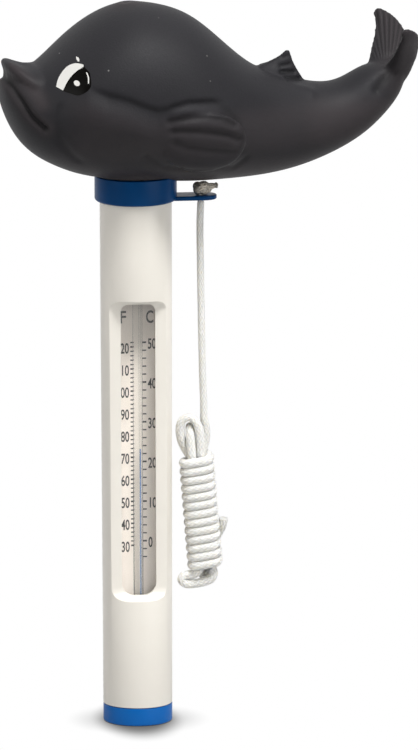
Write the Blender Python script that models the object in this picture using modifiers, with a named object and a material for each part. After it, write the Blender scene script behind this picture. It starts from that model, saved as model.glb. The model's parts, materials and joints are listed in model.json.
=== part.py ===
"""Floating pool thermometer: a vinyl whale float on a ballasted tube with a spirit thermometer.

The frame's origin is the centre of the bottom cap's flat face, on the tube's axis.
+Z runs up the tube, the window faces -Y, the eyelet tab and the whale's tail point to +X.
"""
import math
from typing import NamedTuple

import bmesh
import bpy
from mathutils import Matrix, Vector

MM = 0.001

# Fits: the clearance between neighbouring pieces, and how far a cutter runs past what it cuts
GAP = 0.3 * MM
OVERRUN = 5.0 * MM

# Tube
TUBE_BOTTOM_DIAMETER = 24.2 * MM
TUBE_TOP_DIAMETER = 25.3 * MM
TUBE_WALL = 1.5 * MM
TUBE_LENGTH = 184.7 * MM

# Window: a flat across the tube's front with an opening through its floor
WINDOW_BOTTOM = 46.0 * MM
WINDOW_TOP = 150.4 * MM
WINDOW_WIDTH = 12.4 * MM
WINDOW_UPPER_CORNER = 3.0 * MM
WINDOW_LOWER_CORNER = 4.6 * MM
FLAT_DEPTH = 4.9 * MM
FLAT_MARGIN = 1.4 * MM
FLAT_END_FILLET = 3.0 * MM
FRAME_WALL = 1.4 * MM

# Pieces stacked behind the window
GASKET_THICKNESS = 0.7 * MM
GASKET_WIDTH = 1.7 * MM
LENS_THICKNESS = 1.2 * MM
STEM_DIAMETER = 3.4 * MM
CARD_THICKNESS = 0.4 * MM
CARD_MARGIN = 0.8 * MM
CARRIER_THICKNESS = 1.5 * MM
CARRIER_DISC = 1.5 * MM

# Thermometer
STEM_OFFSET = 0.25 * MM
STEM_TOP = 160.0 * MM
BORE_OFFSET = 0.72 * MM
COLUMN_DIAMETER = 0.5 * MM
COLUMN_TOP = 97.2 * MM
BULB_DIAMETER = 5.4 * MM
BULB_LENGTH = 8.0 * MM
BULB_WALL = 0.6 * MM
CLIP_WALL = 0.4 * MM
CLIP_HEIGHT = 4.0 * MM
CLIP_MOUTH = math.radians(100)

# Bottom cap, ballast and cushions
CAP_BAND = 6.2 * MM
CAP_EDGE_RADIUS = 0.6 * MM
PLUG_DEPTH = 4.8 * MM
PLUG_CHAMFER = 0.8 * MM
CAP_SEAL_SECTION = 1.2 * MM
BALLAST_LENGTH = 23.7 * MM
BALLAST_FLOOR = 10.7 * MM
BULB_ROOM = 0.4 * MM
PAD_THICKNESS = 1.5 * MM
BULB_CUSHION_THICKNESS = 1.9 * MM
UPPER_CUSHION_THICKNESS = 4.4 * MM

# Collar with the eyelet tab and the spigot
COLLAR_DIAMETER = 28.8 * MM
COLLAR_SKIRT = 6.6 * MM
COLLAR_DECK = 2.4 * MM
COLLAR_EDGE_RADIUS = 1.0 * MM
COLLAR_SEAL_THICKNESS = 0.7 * MM
TAB_WIDTH = 9.0 * MM
TAB_THICKNESS = 1.5 * MM
TAB_REACH = 28.4 * MM
EYE_REACH = 22.8 * MM
SPIGOT_DIAMETER = 18.0 * MM
SPIGOT_WALL = 1.8 * MM
SPIGOT_BEAD = 0.8 * MM
SPIGOT_BEAD_LENGTH = 2.4 * MM
SPIGOT_LEAD = 4.0 * MM

# Float
FLOAT_LENGTH = 148.3 * MM
FLOAT_YAW = math.radians(8)
FLOAT_WALL = 1.4 * MM
NECK_LENGTH = 4.2 * MM
SEAT_ROOM = 0.5 * MM

# Cord
CORD_DIAMETER = 2.5 * MM
KNOT_DIAMETER = 6.1 * MM
KNOT_HEIGHT = 3.4 * MM
KNOT_TAIL_LENGTH = 5.0 * MM
HANK_LEAN = math.radians(4.4)
HANK_TURNS = 12.375
WRAP_START = math.radians(-112.5)
WRAP_SQUARENESS = 2.2
HANK_PITCH = 3.05 * MM
HANK_RUN_OFFSET = 1.53 * MM
HANK_CLEARANCE = 0.62 * MM

# Mesh fineness
ROUND_SEGMENTS = 40
SMALL_SEGMENTS = 16
THREAD_SEGMENTS = 8
ARC_STEPS = 4
FLOAT_SEGMENTS = 16
FIN_SEGMENTS = 8
CAVITY_SEGMENTS = 16
POINTS_PER_TURN = 24
KNOT_STEPS = 10
MERGE = 0.00001

# Places that follow from the sizes
tube_bottom_radius = TUBE_BOTTOM_DIAMETER / 2
tube_top_radius = TUBE_TOP_DIAMETER / 2
bore_radius = tube_bottom_radius - TUBE_WALL
inner_radius = bore_radius - GAP
tube_bottom = CAP_BAND + GAP
tube_top = tube_bottom + TUBE_LENGTH
window_middle = (WINDOW_BOTTOM + WINDOW_TOP) / 2

tube_radius_at_window = (
    tube_bottom_radius
    + (tube_top_radius - tube_bottom_radius) * (window_middle - tube_bottom) / TUBE_LENGTH
)
flat_y = FLAT_DEPTH - tube_radius_at_window
frame_back = flat_y + FRAME_WALL
gasket_front = frame_back + GAP
lens_front = gasket_front + GASKET_THICKNESS + GAP
stem_y = lens_front + LENS_THICKNESS + GAP + STEM_DIAMETER / 2
card_front = stem_y + STEM_DIAMETER / 2 + GAP
carrier_front = card_front + CARD_THICKNESS + GAP
carrier_back = carrier_front + CARRIER_THICKNESS

seal_bottom = tube_top + GAP
deck_bottom = seal_bottom + COLLAR_SEAL_THICKNESS + GAP
deck_top = deck_bottom + COLLAR_DECK
collar_bottom = deck_bottom - COLLAR_SKIRT
collar_radius = COLLAR_DIAMETER / 2
spigot_radius = SPIGOT_DIAMETER / 2
seat_z = deck_top + GAP
tab_top = collar_bottom + TAB_THICKNESS

plug_top = CAP_BAND + PLUG_DEPTH
ballast_bottom = plug_top + GAP
ballast_top = ballast_bottom + BALLAST_LENGTH
recess_floor = ballast_bottom + BALLAST_FLOOR
recess_radius = BULB_DIAMETER / 2 + math.hypot(STEM_OFFSET, stem_y) + BULB_ROOM
pad_bottom = ballast_top + GAP
foot_bottom = pad_bottom + PAD_THICKNESS + GAP
foot_top = foot_bottom + CARRIER_DISC
bulb_bottom = recess_floor + GAP + BULB_CUSHION_THICKNESS + GAP
bulb_top = bulb_bottom + BULB_LENGTH
cushion_bottom = deck_bottom - GAP - UPPER_CUSHION_THICKNESS
carrier_top = cushion_bottom - GAP

stem_bore_radius = COLUMN_DIAMETER / 2 + GAP
cord_radius = CORD_DIAMETER / 2
eye_radius = cord_radius + GAP
swing_pivot = Vector((EYE_REACH, 0.0, collar_bottom - cord_radius - GAP))


# The float's sections are drawn for a float of this many units, with the lean in degrees
FLOAT_DRAWN_LENGTH = 148.3
float_unit = FLOAT_LENGTH / FLOAT_DRAWN_LENGTH


class Section(NamedTuple):
    """One cross-section of the float: its centre, half sizes and lean."""

    along: float
    up: float
    half_height: float
    half_width: float
    lean: float


# The float's body from the chin to the root of the flukes, measured from the swivel axis and the seat
BODY_SECTIONS = (
    Section(-48.6, 33.0, 3.3, 5.5, 0),
    Section(-46.4, 30.4, 8.2, 11.0, 0),
    Section(-42.5, 26.6, 12.3, 16.0, 0),
    Section(-37.0, 23.8, 15.2, 20.0, 0),
    Section(-30.0, 25.0, 20.4, 25.0, 0),
    Section(-20.0, 27.7, 27.2, 29.5, 0),
    Section(-6.0, 30.2, 31.6, 32.0, 0),
    Section(8.0, 28.9, 31.3, 32.0, 0),
    Section(20.0, 26.5, 29.7, 30.2, 0),
    Section(31.0, 21.6, 24.4, 26.0, 0),
    Section(42.0, 16.8, 19.2, 21.0, 0),
    Section(53.0, 16.2, 17.0, 17.5, 4),
    Section(64.0, 16.4, 13.7, 15.0, 10),
    Section(75.0, 19.1, 11.0, 12.8, 25),
    Section(82.5, 24.3, 9.4, 11.5, 39),
    Section(88.5, 30.4, 7.6, 9.6, 50),
    Section(92.8, 36.4, 5.4, 7.2, 57),
    Section(95.4, 40.6, 2.4, 4.4, 60),
)

# The upper lip, a beak that flares up at its tip
LIP_SECTIONS = (
    Section(-33.0, 32.0, 9.0, 17.0, -25),
    Section(-39.0, 35.6, 5.6, 15.0, -30),
    Section(-44.0, 39.4, 3.0, 10.5, -38),
    Section(-47.2, 42.4, 1.0, 5.0, -45),
)


class FinSection(NamedTuple):
    """One cross-section of a fin: its leading and trailing edge as points, and its half thickness."""

    leading: tuple[float, float, float]
    trailing: tuple[float, float, float]
    half_thickness: float


# One lobe of the flukes, from inside the tail to its tip, and the way its faces look
FLUKE_SECTIONS = (
    FinSection((84.5, 1.0, 28.5), (97.0, 1.0, 27.0), 4.6),
    FinSection((86.2, 6.0, 36.2), (100.2, 5.0, 38.2), 3.0),
    FinSection((88.0, 12.0, 41.8), (100.4, 11.0, 45.0), 1.9),
    FinSection((89.2, 18.0, 47.4), (97.8, 16.8, 48.6), 1.4),
    FinSection((90.2, 20.6, 51.0), (93.0, 20.5, 51.6), 0.8),
)
FLUKE_FACING = (0.11, -0.66, 0.75)

# The dorsal fin, from inside the back to its tip
DORSAL_SECTIONS = (
    FinSection((41.0, 0.0, 31.0), (62.0, 0.0, 27.0), 4.0),
    FinSection((44.6, 0.0, 36.0), (58.4, 0.0, 34.0), 2.2),
    FinSection((49.2, 0.0, 38.9), (56.4, 0.0, 38.0), 1.5),
    FinSection((53.6, 0.0, 41.8), (55.6, 0.0, 41.6), 0.9),
)
DORSAL_FACING = (0.0, 1.0, 0.0)

# One folded pectoral fin, a pad on the float's flank: its centre, half sizes and tilt
PECTORAL_CENTRE = (19.0, 28.4, 14.6)
PECTORAL_HALF_SIZES = (15.0, 3.4, 12.0)
PECTORAL_TILT = math.radians(22)
PECTORAL_TOE = math.radians(7)

# Route of the free cord below the eye, measured from its upper end, in millimetres
CORD_ROUTE = (
    (0.0, 0.0, 0.0),
    (-0.3, 0.1, -9.0),
    (-0.1, 0.3, -26.0),
    (0.2, 0.2, -49.0),
    (0.5, 0.0, -64.0),
    (0.75, 0.0, -70.0),
    (0.8, 0.0, -73.0),
)

# Route of the hank's runs and folds, in millimetres: right, back and down from the top of the wraps
HANK_ENTRY_ROUTE = (
    (3.95, 0.3, -15.5),
    (3.77, 0.3, -13.0),
    (4.2, 0.8, -9.0),
    (3.5, 1.4, -4.5),
    (1.9, 1.55, -0.4),
    (1.53, 1.53, 4.0),
)
HANK_BACK_FOLD = (
    (1.53, 1.53, 37.0),
    (2.2, 1.7, 42.2),
    (2.7, 1.85, 45.4),
    (0.6, 1.95, 47.4),
    (-1.7, 1.85, 45.2),
    (-1.75, 1.65, 42.0),
    (-1.53, 1.53, 37.0),
)
HANK_TOP_FOLD = (
    (-1.53, 1.53, 4.0),
    (-1.9, 1.5, -0.4),
    (-3.5, 0.9, -4.0),
    (-4.6, 0.2, -8.0),
    (-3.6, -0.5, -11.4),
    (-1.3, -1.0, -12.3),
    (0.9, -1.4, -10.6),
    (1.7, -1.6, -6.5),
    (1.6, -1.55, -1.0),
    (1.53, -1.53, 4.0),
)
HANK_FRONT_FOLD = (
    (1.53, -1.53, 37.0),
    (2.0, -1.7, 42.6),
    (1.8, -1.9, 45.8),
    (-0.6, -2.0, 47.5),
    (-4.6, -2.0, 47.6),
    (-8.0, -2.0, 47.0),
    (-8.7, -1.95, 44.9),
    (-6.6, -1.8, 43.4),
    (-3.4, -1.65, 43.0),
    (-1.75, -1.55, 40.4),
    (-1.53, -1.53, 36.0),
)
HANK_TURN_IN = (
    (-1.53, -1.53, 4.0),
    (-1.7, -1.7, 0.2),
    (-3.0, -2.8, -2.3),
)
HANK_TAIL_ROUTE = (
    (4.2, 5.0, 39.4),
    (5.0, 7.2, 38.2),
    (6.2, 7.7, 35.0),
    (6.8, 6.9, 31.2),
    (7.3, 4.8, 28.0),
    (7.8, 3.0, 26.2),
    (8.0, 1.6, 25.0),
)


def clear_scene() -> None:
    """Remove every object of the open scene."""
    for obj in list(bpy.data.objects):
        bpy.data.objects.remove(obj, do_unlink=True)


def new_collection(name: str) -> bpy.types.Collection:
    """Return a new collection linked to the scene."""
    collection = bpy.data.collections.new(name)
    bpy.context.scene.collection.children.link(collection)
    return collection


def finish(name: str, colour: tuple, roughness: float, metallic: float = 0.0) -> bpy.types.Material:
    """Return a plain material of one colour."""
    material = bpy.data.materials.new(name)
    material.use_nodes = True
    shader = material.node_tree.nodes["Principled BSDF"]
    shader.inputs["Base Color"].default_value = (*colour, 1.0)
    shader.inputs["Roughness"].default_value = roughness
    shader.inputs["Metallic"].default_value = metallic
    return material


def mesh_object(name: str, bm: bmesh.types.BMesh) -> bpy.types.Object:
    """Turn a bmesh into an object of the scene's cutters, until it is placed as a part."""
    mesh = bpy.data.meshes.new(name)
    bm.to_mesh(mesh)
    bm.free()
    obj = bpy.data.objects.new(name, mesh)
    cutters.objects.link(obj)
    obj.hide_render = True
    obj.display_type = "WIRE"
    return obj


def place_part(obj: bpy.types.Object, material: bpy.types.Material) -> bpy.types.Object:
    """Move an object from the cutters to the parts and give it its material."""
    cutters.objects.unlink(obj)
    parts.objects.link(obj)
    obj.hide_render = False
    obj.display_type = "TEXTURED"
    obj.data.materials.clear()
    obj.data.materials.append(material)
    obj.data.shade_smooth()
    obj.data.set_sharp_from_angle(angle=math.radians(35))
    return obj


def add_boolean(obj: bpy.types.Object, other: bpy.types.Object, operation: str) -> None:
    """Join another object to this one, or cut it out."""
    modifier = obj.modifiers.new(f"{operation.lower()}_{other.name}", "BOOLEAN")
    modifier.object = other
    modifier.operation = operation
    modifier.solver = "EXACT"


def join(obj: bpy.types.Object, *others: bpy.types.Object) -> None:
    """Join other objects to this one as one body."""
    for other in others:
        add_boolean(obj, other, "UNION")


def cut(obj: bpy.types.Object, *others: bpy.types.Object) -> None:
    """Cut other objects out of this one."""
    for other in others:
        add_boolean(obj, other, "DIFFERENCE")


def turned(name: str, profile: list, segments: int, closed: bool = False) -> bpy.types.Object:
    """Turn a profile of (radius, height) points, listed down its outer side, about the tube's axis."""
    bm = bmesh.new()
    verts = [bm.verts.new((radius, 0.0, height)) for radius, height in profile]
    for first, second in zip(verts, verts[1:]):
        bm.edges.new((first, second))
    if closed:
        bm.edges.new((verts[-1], verts[0]))
    obj = mesh_object(name, bm)
    screw = obj.modifiers.new("turn", "SCREW")
    screw.steps = segments
    screw.render_steps = segments
    screw.use_merge_vertices = True
    screw.merge_threshold = MERGE
    return obj


def ring(name: str, inner: float, outer: float, bottom: float, top: float) -> bpy.types.Object:
    """Return a flat ring about the tube's axis."""
    profile = [(outer, top), (outer, bottom), (inner, bottom), (inner, top)]
    return turned(name, profile, ROUND_SEGMENTS, closed=True)


def disc(name: str, radius: float, bottom: float, top: float) -> bpy.types.Object:
    """Return a flat disc about the tube's axis."""
    return turned(name, [(0.0, top), (radius, top), (radius, bottom), (0.0, bottom)], ROUND_SEGMENTS)


def block(name: str, low: tuple, high: tuple) -> bpy.types.Object:
    """Return a box between two corners."""
    bm = bmesh.new()
    bmesh.ops.create_cube(bm, size=1.0)
    size = [upper - lower for lower, upper in zip(low, high)]
    middle = [(upper + lower) / 2 for lower, upper in zip(low, high)]
    bmesh.ops.scale(bm, vec=size, verts=bm.verts)
    bmesh.ops.translate(bm, vec=middle, verts=bm.verts)
    return mesh_object(name, bm)


def rod(name: str, radius: float, centre: tuple, bottom: float, top: float, segments: int) -> bpy.types.Object:
    """Return an upright cylinder on a centre (x, y)."""
    bm = bmesh.new()
    bmesh.ops.create_cone(
        bm, cap_ends=True, segments=segments, radius1=radius, radius2=radius, depth=top - bottom
    )
    bmesh.ops.translate(bm, vec=(*centre, (bottom + top) / 2), verts=bm.verts)
    return mesh_object(name, bm)


def arc(centre: tuple, radius: float, start: float, end: float, steps: int) -> list:
    """Return points of an arc, from one angle to another, both ends included."""
    angles = [start + (end - start) * step / steps for step in range(steps + 1)]
    return [
        (centre[0] + radius * math.cos(angle), centre[1] + radius * math.sin(angle)) for angle in angles
    ]


def rounded_outline(half_width: float, bottom: float, top: float, lower: float, upper: float) -> list:
    """Return a rectangle's outline with its own radius for the lower and the upper corners."""
    quarter = math.pi / 2
    return (
        arc((half_width - lower, bottom + lower), lower, -quarter, 0.0, ARC_STEPS)
        + arc((half_width - upper, top - upper), upper, 0.0, quarter, ARC_STEPS)
        + arc((upper - half_width, top - upper), upper, quarter, 2 * quarter, ARC_STEPS)
        + arc((lower - half_width, bottom + lower), lower, 2 * quarter, 3 * quarter, ARC_STEPS)
    )


def curve_to_mesh(name: str, curve: bpy.types.Curve, matrix: Matrix) -> bpy.types.Object:
    """Turn a curve into a welded mesh object in its place."""
    source = bpy.data.objects.new(name + "_curve", curve)
    bpy.context.scene.collection.objects.link(source)
    evaluated = source.evaluated_get(bpy.context.evaluated_depsgraph_get())
    mesh = bpy.data.meshes.new_from_object(evaluated)
    bpy.data.objects.remove(source, do_unlink=True)
    bm = bmesh.new()
    bm.from_mesh(mesh)
    bmesh.ops.remove_doubles(bm, verts=bm.verts, dist=MERGE)
    bmesh.ops.transform(bm, matrix=matrix, verts=bm.verts)
    return mesh_object(name, bm)


def plate(name: str, outlines: list, thickness: float, matrix: Matrix) -> bpy.types.Object:
    """Return a flat plate of the first outline with the others as holes, about its middle plane."""
    curve = bpy.data.curves.new(name, "CURVE")
    curve.dimensions = "2D"
    curve.fill_mode = "BOTH"
    curve.extrude = thickness / 2
    for outline in outlines:
        spline = curve.splines.new("POLY")
        spline.points.add(len(outline) - 1)
        for point, (across, along) in zip(spline.points, outline):
            point.co = (across, along, 0.0, 1.0)
        spline.use_cyclic_u = True
    return curve_to_mesh(name, curve, matrix)


def facing_window(front: float, thickness: float) -> Matrix:
    """Return the matrix that stands a plate upright behind the window with its front at a depth."""
    return Matrix.Translation((0.0, front + thickness / 2, 0.0)) @ Matrix.Rotation(math.pi / 2, 4, "X")


def lying(bottom: float, thickness: float) -> Matrix:
    """Return the matrix that lays a plate flat with its underside at a height."""
    return Matrix.Translation((0.0, 0.0, bottom + thickness / 2))


def chord(y: float) -> float:
    """Return half the width of the tube's bore at a depth, less the clearance."""
    return math.sqrt(bore_radius**2 - y**2) - GAP


def loft(name: str, rings: list, levels: int = 1) -> bpy.types.Object:
    """Skin rings of points, close both ends and smooth the cage."""
    bm = bmesh.new()
    loops = [[bm.verts.new(point) for point in points] for points in rings]
    count = len(loops[0])
    for first, second in zip(loops, loops[1:]):
        for index in range(count):
            after = (index + 1) % count
            bm.faces.new((first[index], first[after], second[after], second[index]))
    bm.faces.new(loops[0])
    bm.faces.new(loops[-1])
    bmesh.ops.recalc_face_normals(bm, faces=bm.faces)
    obj = mesh_object(name, bm)
    smooth = obj.modifiers.new("smooth", "SUBSURF")
    smooth.levels = levels
    smooth.render_levels = levels
    return obj


def cage_scale(segments: int) -> float:
    """Return how much wider a ring's cage is than the smooth ring it makes."""
    return 3.0 / (2.0 + math.cos(2 * math.pi / segments))


def body_ring(section: Section, segments: int, widen: float, inset: float = 0.0) -> list:
    """Return one oval ring of the float's body, drawn in by an inset and widened for its cage."""
    lean = math.radians(section.lean)
    upward = Vector((-math.sin(lean), 0.0, math.cos(lean)))
    centre = Vector((section.along, 0.0, section.up)) * float_unit
    half_height = (section.half_height * float_unit - inset) * widen
    half_width = (section.half_width * float_unit - inset) * widen
    points = []
    for index in range(segments):
        angle = 2 * math.pi * index / segments
        side = Vector((0.0, half_width * math.cos(angle), 0.0))
        points.append(centre + side + upward * half_height * math.sin(angle))
    return points


def settled(sections: tuple) -> list:
    """Return the sections as one smoothing step leaves them, without the first and the last."""
    inner = []
    for before, middle, after in zip(sections, sections[1:], sections[2:]):
        sizes = [(first + 6 * second + third) / 8 for first, second, third in zip(before, middle, after)]
        inner.append(Section(*sizes))
    return inner


def fin_ring(section: FinSection, facing: Vector, side: float) -> list:
    """Return one flat oval ring of a fin, on one side of the float."""
    mirror = Vector((1.0, side, 1.0))
    leading = Vector(section.leading) * float_unit * mirror
    trailing = Vector(section.trailing) * float_unit * mirror
    thickness = facing.normalized() * mirror * section.half_thickness * float_unit
    middle = (leading + trailing) / 2
    half = (trailing - leading) / 2
    points = []
    for index in range(FIN_SEGMENTS):
        angle = 2 * math.pi * index / FIN_SEGMENTS
        points.append(middle + half * math.cos(angle) + thickness * math.sin(angle))
    return points


def pectoral(name: str, side: float) -> bpy.types.Object:
    """Return one folded pectoral fin as a flat pad, on one side of the float."""
    bm = bmesh.new()
    bmesh.ops.create_uvsphere(bm, u_segments=SMALL_SEGMENTS, v_segments=SMALL_SEGMENTS // 2, radius=1.0)
    bmesh.ops.scale(bm, vec=Vector(PECTORAL_HALF_SIZES) * float_unit, verts=bm.verts)
    turn = Matrix.Rotation(-PECTORAL_TOE * side, 4, "Z") @ Matrix.Rotation(-PECTORAL_TILT * side, 4, "X")
    centre = Vector(PECTORAL_CENTRE) * float_unit * Vector((1.0, side, 1.0))
    bmesh.ops.transform(bm, matrix=Matrix.Translation(centre) @ turn, verts=bm.verts)
    return mesh_object(name, bm)


def smooth_route(points: list, spacing: float) -> list:
    """Return points read at a spacing from a smooth curve through a route's own points."""
    ends = [points[0] * 2 - points[1], *points, points[-1] * 2 - points[-2]]
    route = [points[0]]
    for before, start, end, after in zip(ends, ends[1:], ends[2:], ends[3:]):
        steps = max(1, round((end - start).length / spacing))
        for step in range(1, steps + 1):
            t = step / steps
            bend = (before * 2 - start * 5 + end * 4 - after) * t * t
            twist = (start * 3 - before - end * 3 + after) * t * t * t
            route.append((start * 2 + (end - before) * t + bend + twist) / 2)
    return route


def cord_tube(name: str, route: list, bevel: int, rounded_start: bool) -> bpy.types.Object:
    """Return a cord along a route, with its first end drawn to a half ball where it turns on it."""
    radii = [1.0] * len(route)
    points = list(route)
    if rounded_start:
        outward = (route[0] - route[1]).normalized()
        angles = [math.radians(degrees) for degrees in (82, 60, 30)]
        points = [route[0] + outward * cord_radius * math.sin(angle) for angle in angles] + points
        radii = [math.cos(angle) for angle in angles] + radii
    curve = bpy.data.curves.new(name, "CURVE")
    curve.dimensions = "3D"
    curve.bevel_depth = cord_radius
    curve.bevel_resolution = bevel
    curve.use_fill_caps = True
    spline = curve.splines.new("POLY")
    spline.points.add(len(points) - 1)
    for point, place, radius in zip(spline.points, points, radii):
        point.co = (*place, 1.0)
        point.radius = radius
    return curve_to_mesh(name, curve, Matrix.Identity(4))


def on_axis(obj: bpy.types.Object, name: str, pivot: Vector) -> None:
    """Hang an object, modelled in the part's frame, from an empty on its joint's axis."""
    axis = bpy.data.objects.new(name, None)
    axis.location = pivot
    parts.objects.link(axis)
    obj.parent = axis
    obj.matrix_parent_inverse = Matrix.Translation(-pivot)


def make_case_tube() -> None:
    """Make the white tube: tapered outside, with the window's flat, frame and opening."""
    profile = [(0.0, tube_top), (tube_top_radius, tube_top), (tube_bottom_radius, tube_bottom), (0.0, tube_bottom)]
    tube = turned("case_tube", profile, ROUND_SEGMENTS)
    flat_bottom = WINDOW_BOTTOM - FLAT_MARGIN
    flat_top = WINDOW_TOP + FLAT_MARGIN
    wide = tube_top_radius + OVERRUN

    bore = disc("bore_cutter", bore_radius, tube_bottom - OVERRUN, tube_top + OVERRUN)
    frame = block(
        "window_frame_block",
        (-wide, -wide, flat_bottom - FRAME_WALL),
        (wide, frame_back, flat_top + FRAME_WALL),
    )
    cut(bore, frame)

    flat = block("flat_cutter", (-wide, -wide, flat_bottom), (wide, flat_y, flat_top))
    bm = bmesh.new()
    bm.from_mesh(flat.data)
    floor_edges = [
        edge
        for edge in bm.edges
        if all(abs(vert.co.y - flat_y) < MERGE for vert in edge.verts)
        and abs(edge.verts[0].co.z - edge.verts[1].co.z) < MERGE
    ]
    bmesh.ops.bevel(
        bm,
        geom=floor_edges,
        offset=FLAT_END_FILLET,
        segments=ARC_STEPS,
        profile=0.5,
        affect="EDGES",
        material=-1,
    )
    bm.to_mesh(flat.data)
    bm.free()

    outline = rounded_outline(
        WINDOW_WIDTH / 2, WINDOW_BOTTOM, WINDOW_TOP, WINDOW_LOWER_CORNER, WINDOW_UPPER_CORNER
    )
    depth = FRAME_WALL + 2 * OVERRUN
    opening = plate("window_cutter", [outline], depth, facing_window(flat_y - OVERRUN, depth))
    cut(tube, bore, flat, opening)
    place_part(tube, WHITE_PLASTIC)


def make_window() -> None:
    """Make the gasket and the clear lens behind the window's frame."""
    half_width = min(chord(gasket_front), chord(lens_front + LENS_THICKNESS))
    lap = half_width - WINDOW_WIDTH / 2
    outer = rounded_outline(
        half_width,
        WINDOW_BOTTOM - lap,
        WINDOW_TOP + lap,
        WINDOW_LOWER_CORNER,
        WINDOW_UPPER_CORNER,
    )
    inner = rounded_outline(
        half_width - GASKET_WIDTH,
        WINDOW_BOTTOM - lap + GASKET_WIDTH,
        WINDOW_TOP + lap - GASKET_WIDTH,
        WINDOW_LOWER_CORNER,
        WINDOW_UPPER_CORNER,
    )
    gasket = plate(
        "window_gasket", [outer, inner], GASKET_THICKNESS, facing_window(gasket_front, GASKET_THICKNESS)
    )
    place_part(gasket, GASKET_RUBBER)
    lens = plate("window_lens", [outer], LENS_THICKNESS, facing_window(lens_front, LENS_THICKNESS))
    place_part(lens, CLEAR_PLASTIC)


def make_carrier() -> None:
    """Make the carrier plate with its foot and head discs, and the printed card on its front."""
    plate_half = chord(max(abs(carrier_front), abs(carrier_back)))
    carrier = block(
        "card_carrier",
        (-plate_half, carrier_front, foot_top - CARRIER_DISC / 2),
        (plate_half, carrier_back, carrier_top - CARRIER_DISC / 2),
    )
    foot = ring("carrier_foot", recess_radius, inner_radius, foot_bottom, foot_top)
    head = disc("carrier_head", inner_radius, carrier_top - CARRIER_DISC, carrier_top)
    join(carrier, foot, head)
    place_part(carrier, GREY_PLASTIC)

    card_half = plate_half - CARD_MARGIN
    card = block(
        "scale_card",
        (-card_half, card_front, foot_top + 2 * GAP + CLIP_HEIGHT),
        (card_half, card_front + CARD_THICKNESS, STEM_TOP - CLIP_HEIGHT - 2 * GAP),
    )
    place_part(card, CARD_PAPER)


def make_clip(name: str, bottom: float) -> None:
    """Make one spring clip, a split ring round the stem that rests on the carrier's front."""
    inner = STEM_DIAMETER / 2 + GAP
    outer = inner + CLIP_WALL
    start = CLIP_MOUTH / 2 - math.pi / 2
    end = 2 * math.pi - CLIP_MOUTH / 2 - math.pi / 2
    steps = SMALL_SEGMENTS
    outline = arc((STEM_OFFSET, stem_y), outer, start, end, steps)
    outline += arc((STEM_OFFSET, stem_y), inner, end, start, steps)
    clip = plate(name, [outline], CLIP_HEIGHT, lying(bottom, CLIP_HEIGHT))
    place_part(clip, SPRING_STEEL)


def make_thermometer() -> None:
    """Make the glass stem with its bulb, the spirit in the bulb and the spirit thread in the bore."""
    stem_radius = STEM_DIAMETER / 2
    bulb_radius = BULB_DIAMETER / 2
    centre = (STEM_OFFSET, stem_y)
    quarter = math.pi / 2
    shoulder = bulb_top - bulb_radius
    heel = bulb_bottom + bulb_radius
    neck = math.acos(stem_radius / bulb_radius)
    profile = [(0.0, STEM_TOP), (stem_radius, STEM_TOP)]
    profile += arc((0.0, shoulder), bulb_radius, neck, 0.0, ARC_STEPS)
    profile += arc((0.0, heel), bulb_radius, 0.0, -quarter, ARC_STEPS)
    profile[-1] = (0.0, bulb_bottom)
    stem = turned("glass_stem", profile, SMALL_SEGMENTS)
    stem.location = (*centre, 0.0)

    room_radius = bulb_radius - BULB_WALL
    spirit_radius = room_radius - GAP
    room = turned("bulb_room", capsule(room_radius, shoulder, heel), SMALL_SEGMENTS)
    room.location = (*centre, 0.0)
    bore_centre = (STEM_OFFSET + BORE_OFFSET, stem_y)
    bore = rod("stem_bore", stem_bore_radius, bore_centre, heel, STEM_TOP + OVERRUN, SMALL_SEGMENTS)
    cut(stem, room, bore)
    place_part(stem, CLEAR_GLASS)

    reservoir = turned("spirit_reservoir", capsule(spirit_radius, shoulder, heel), SMALL_SEGMENTS)
    reservoir.location = (*centre, 0.0)
    place_part(reservoir, BLUE_SPIRIT)
    thread_bottom = shoulder + spirit_radius + GAP
    column = rod(
        "spirit_column", COLUMN_DIAMETER / 2, (0.0, 0.0), thread_bottom, COLUMN_TOP, THREAD_SEGMENTS
    )
    column.location = (*bore_centre, 0.0)
    place_part(column, BLUE_SPIRIT)

    make_clip("lower_stem_clip", foot_top + GAP)
    make_clip("upper_stem_clip", STEM_TOP - CLIP_HEIGHT)


def capsule(radius: float, shoulder: float, heel: float) -> list:
    """Return the profile of a round-ended rod between two centres."""
    quarter = math.pi / 2
    profile = arc((0.0, shoulder), radius, quarter, 0.0, ARC_STEPS)
    profile += arc((0.0, heel), radius, 0.0, -quarter, ARC_STEPS)
    profile[0] = (0.0, shoulder + radius)
    profile[-1] = (0.0, heel - radius)
    return profile


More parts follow.
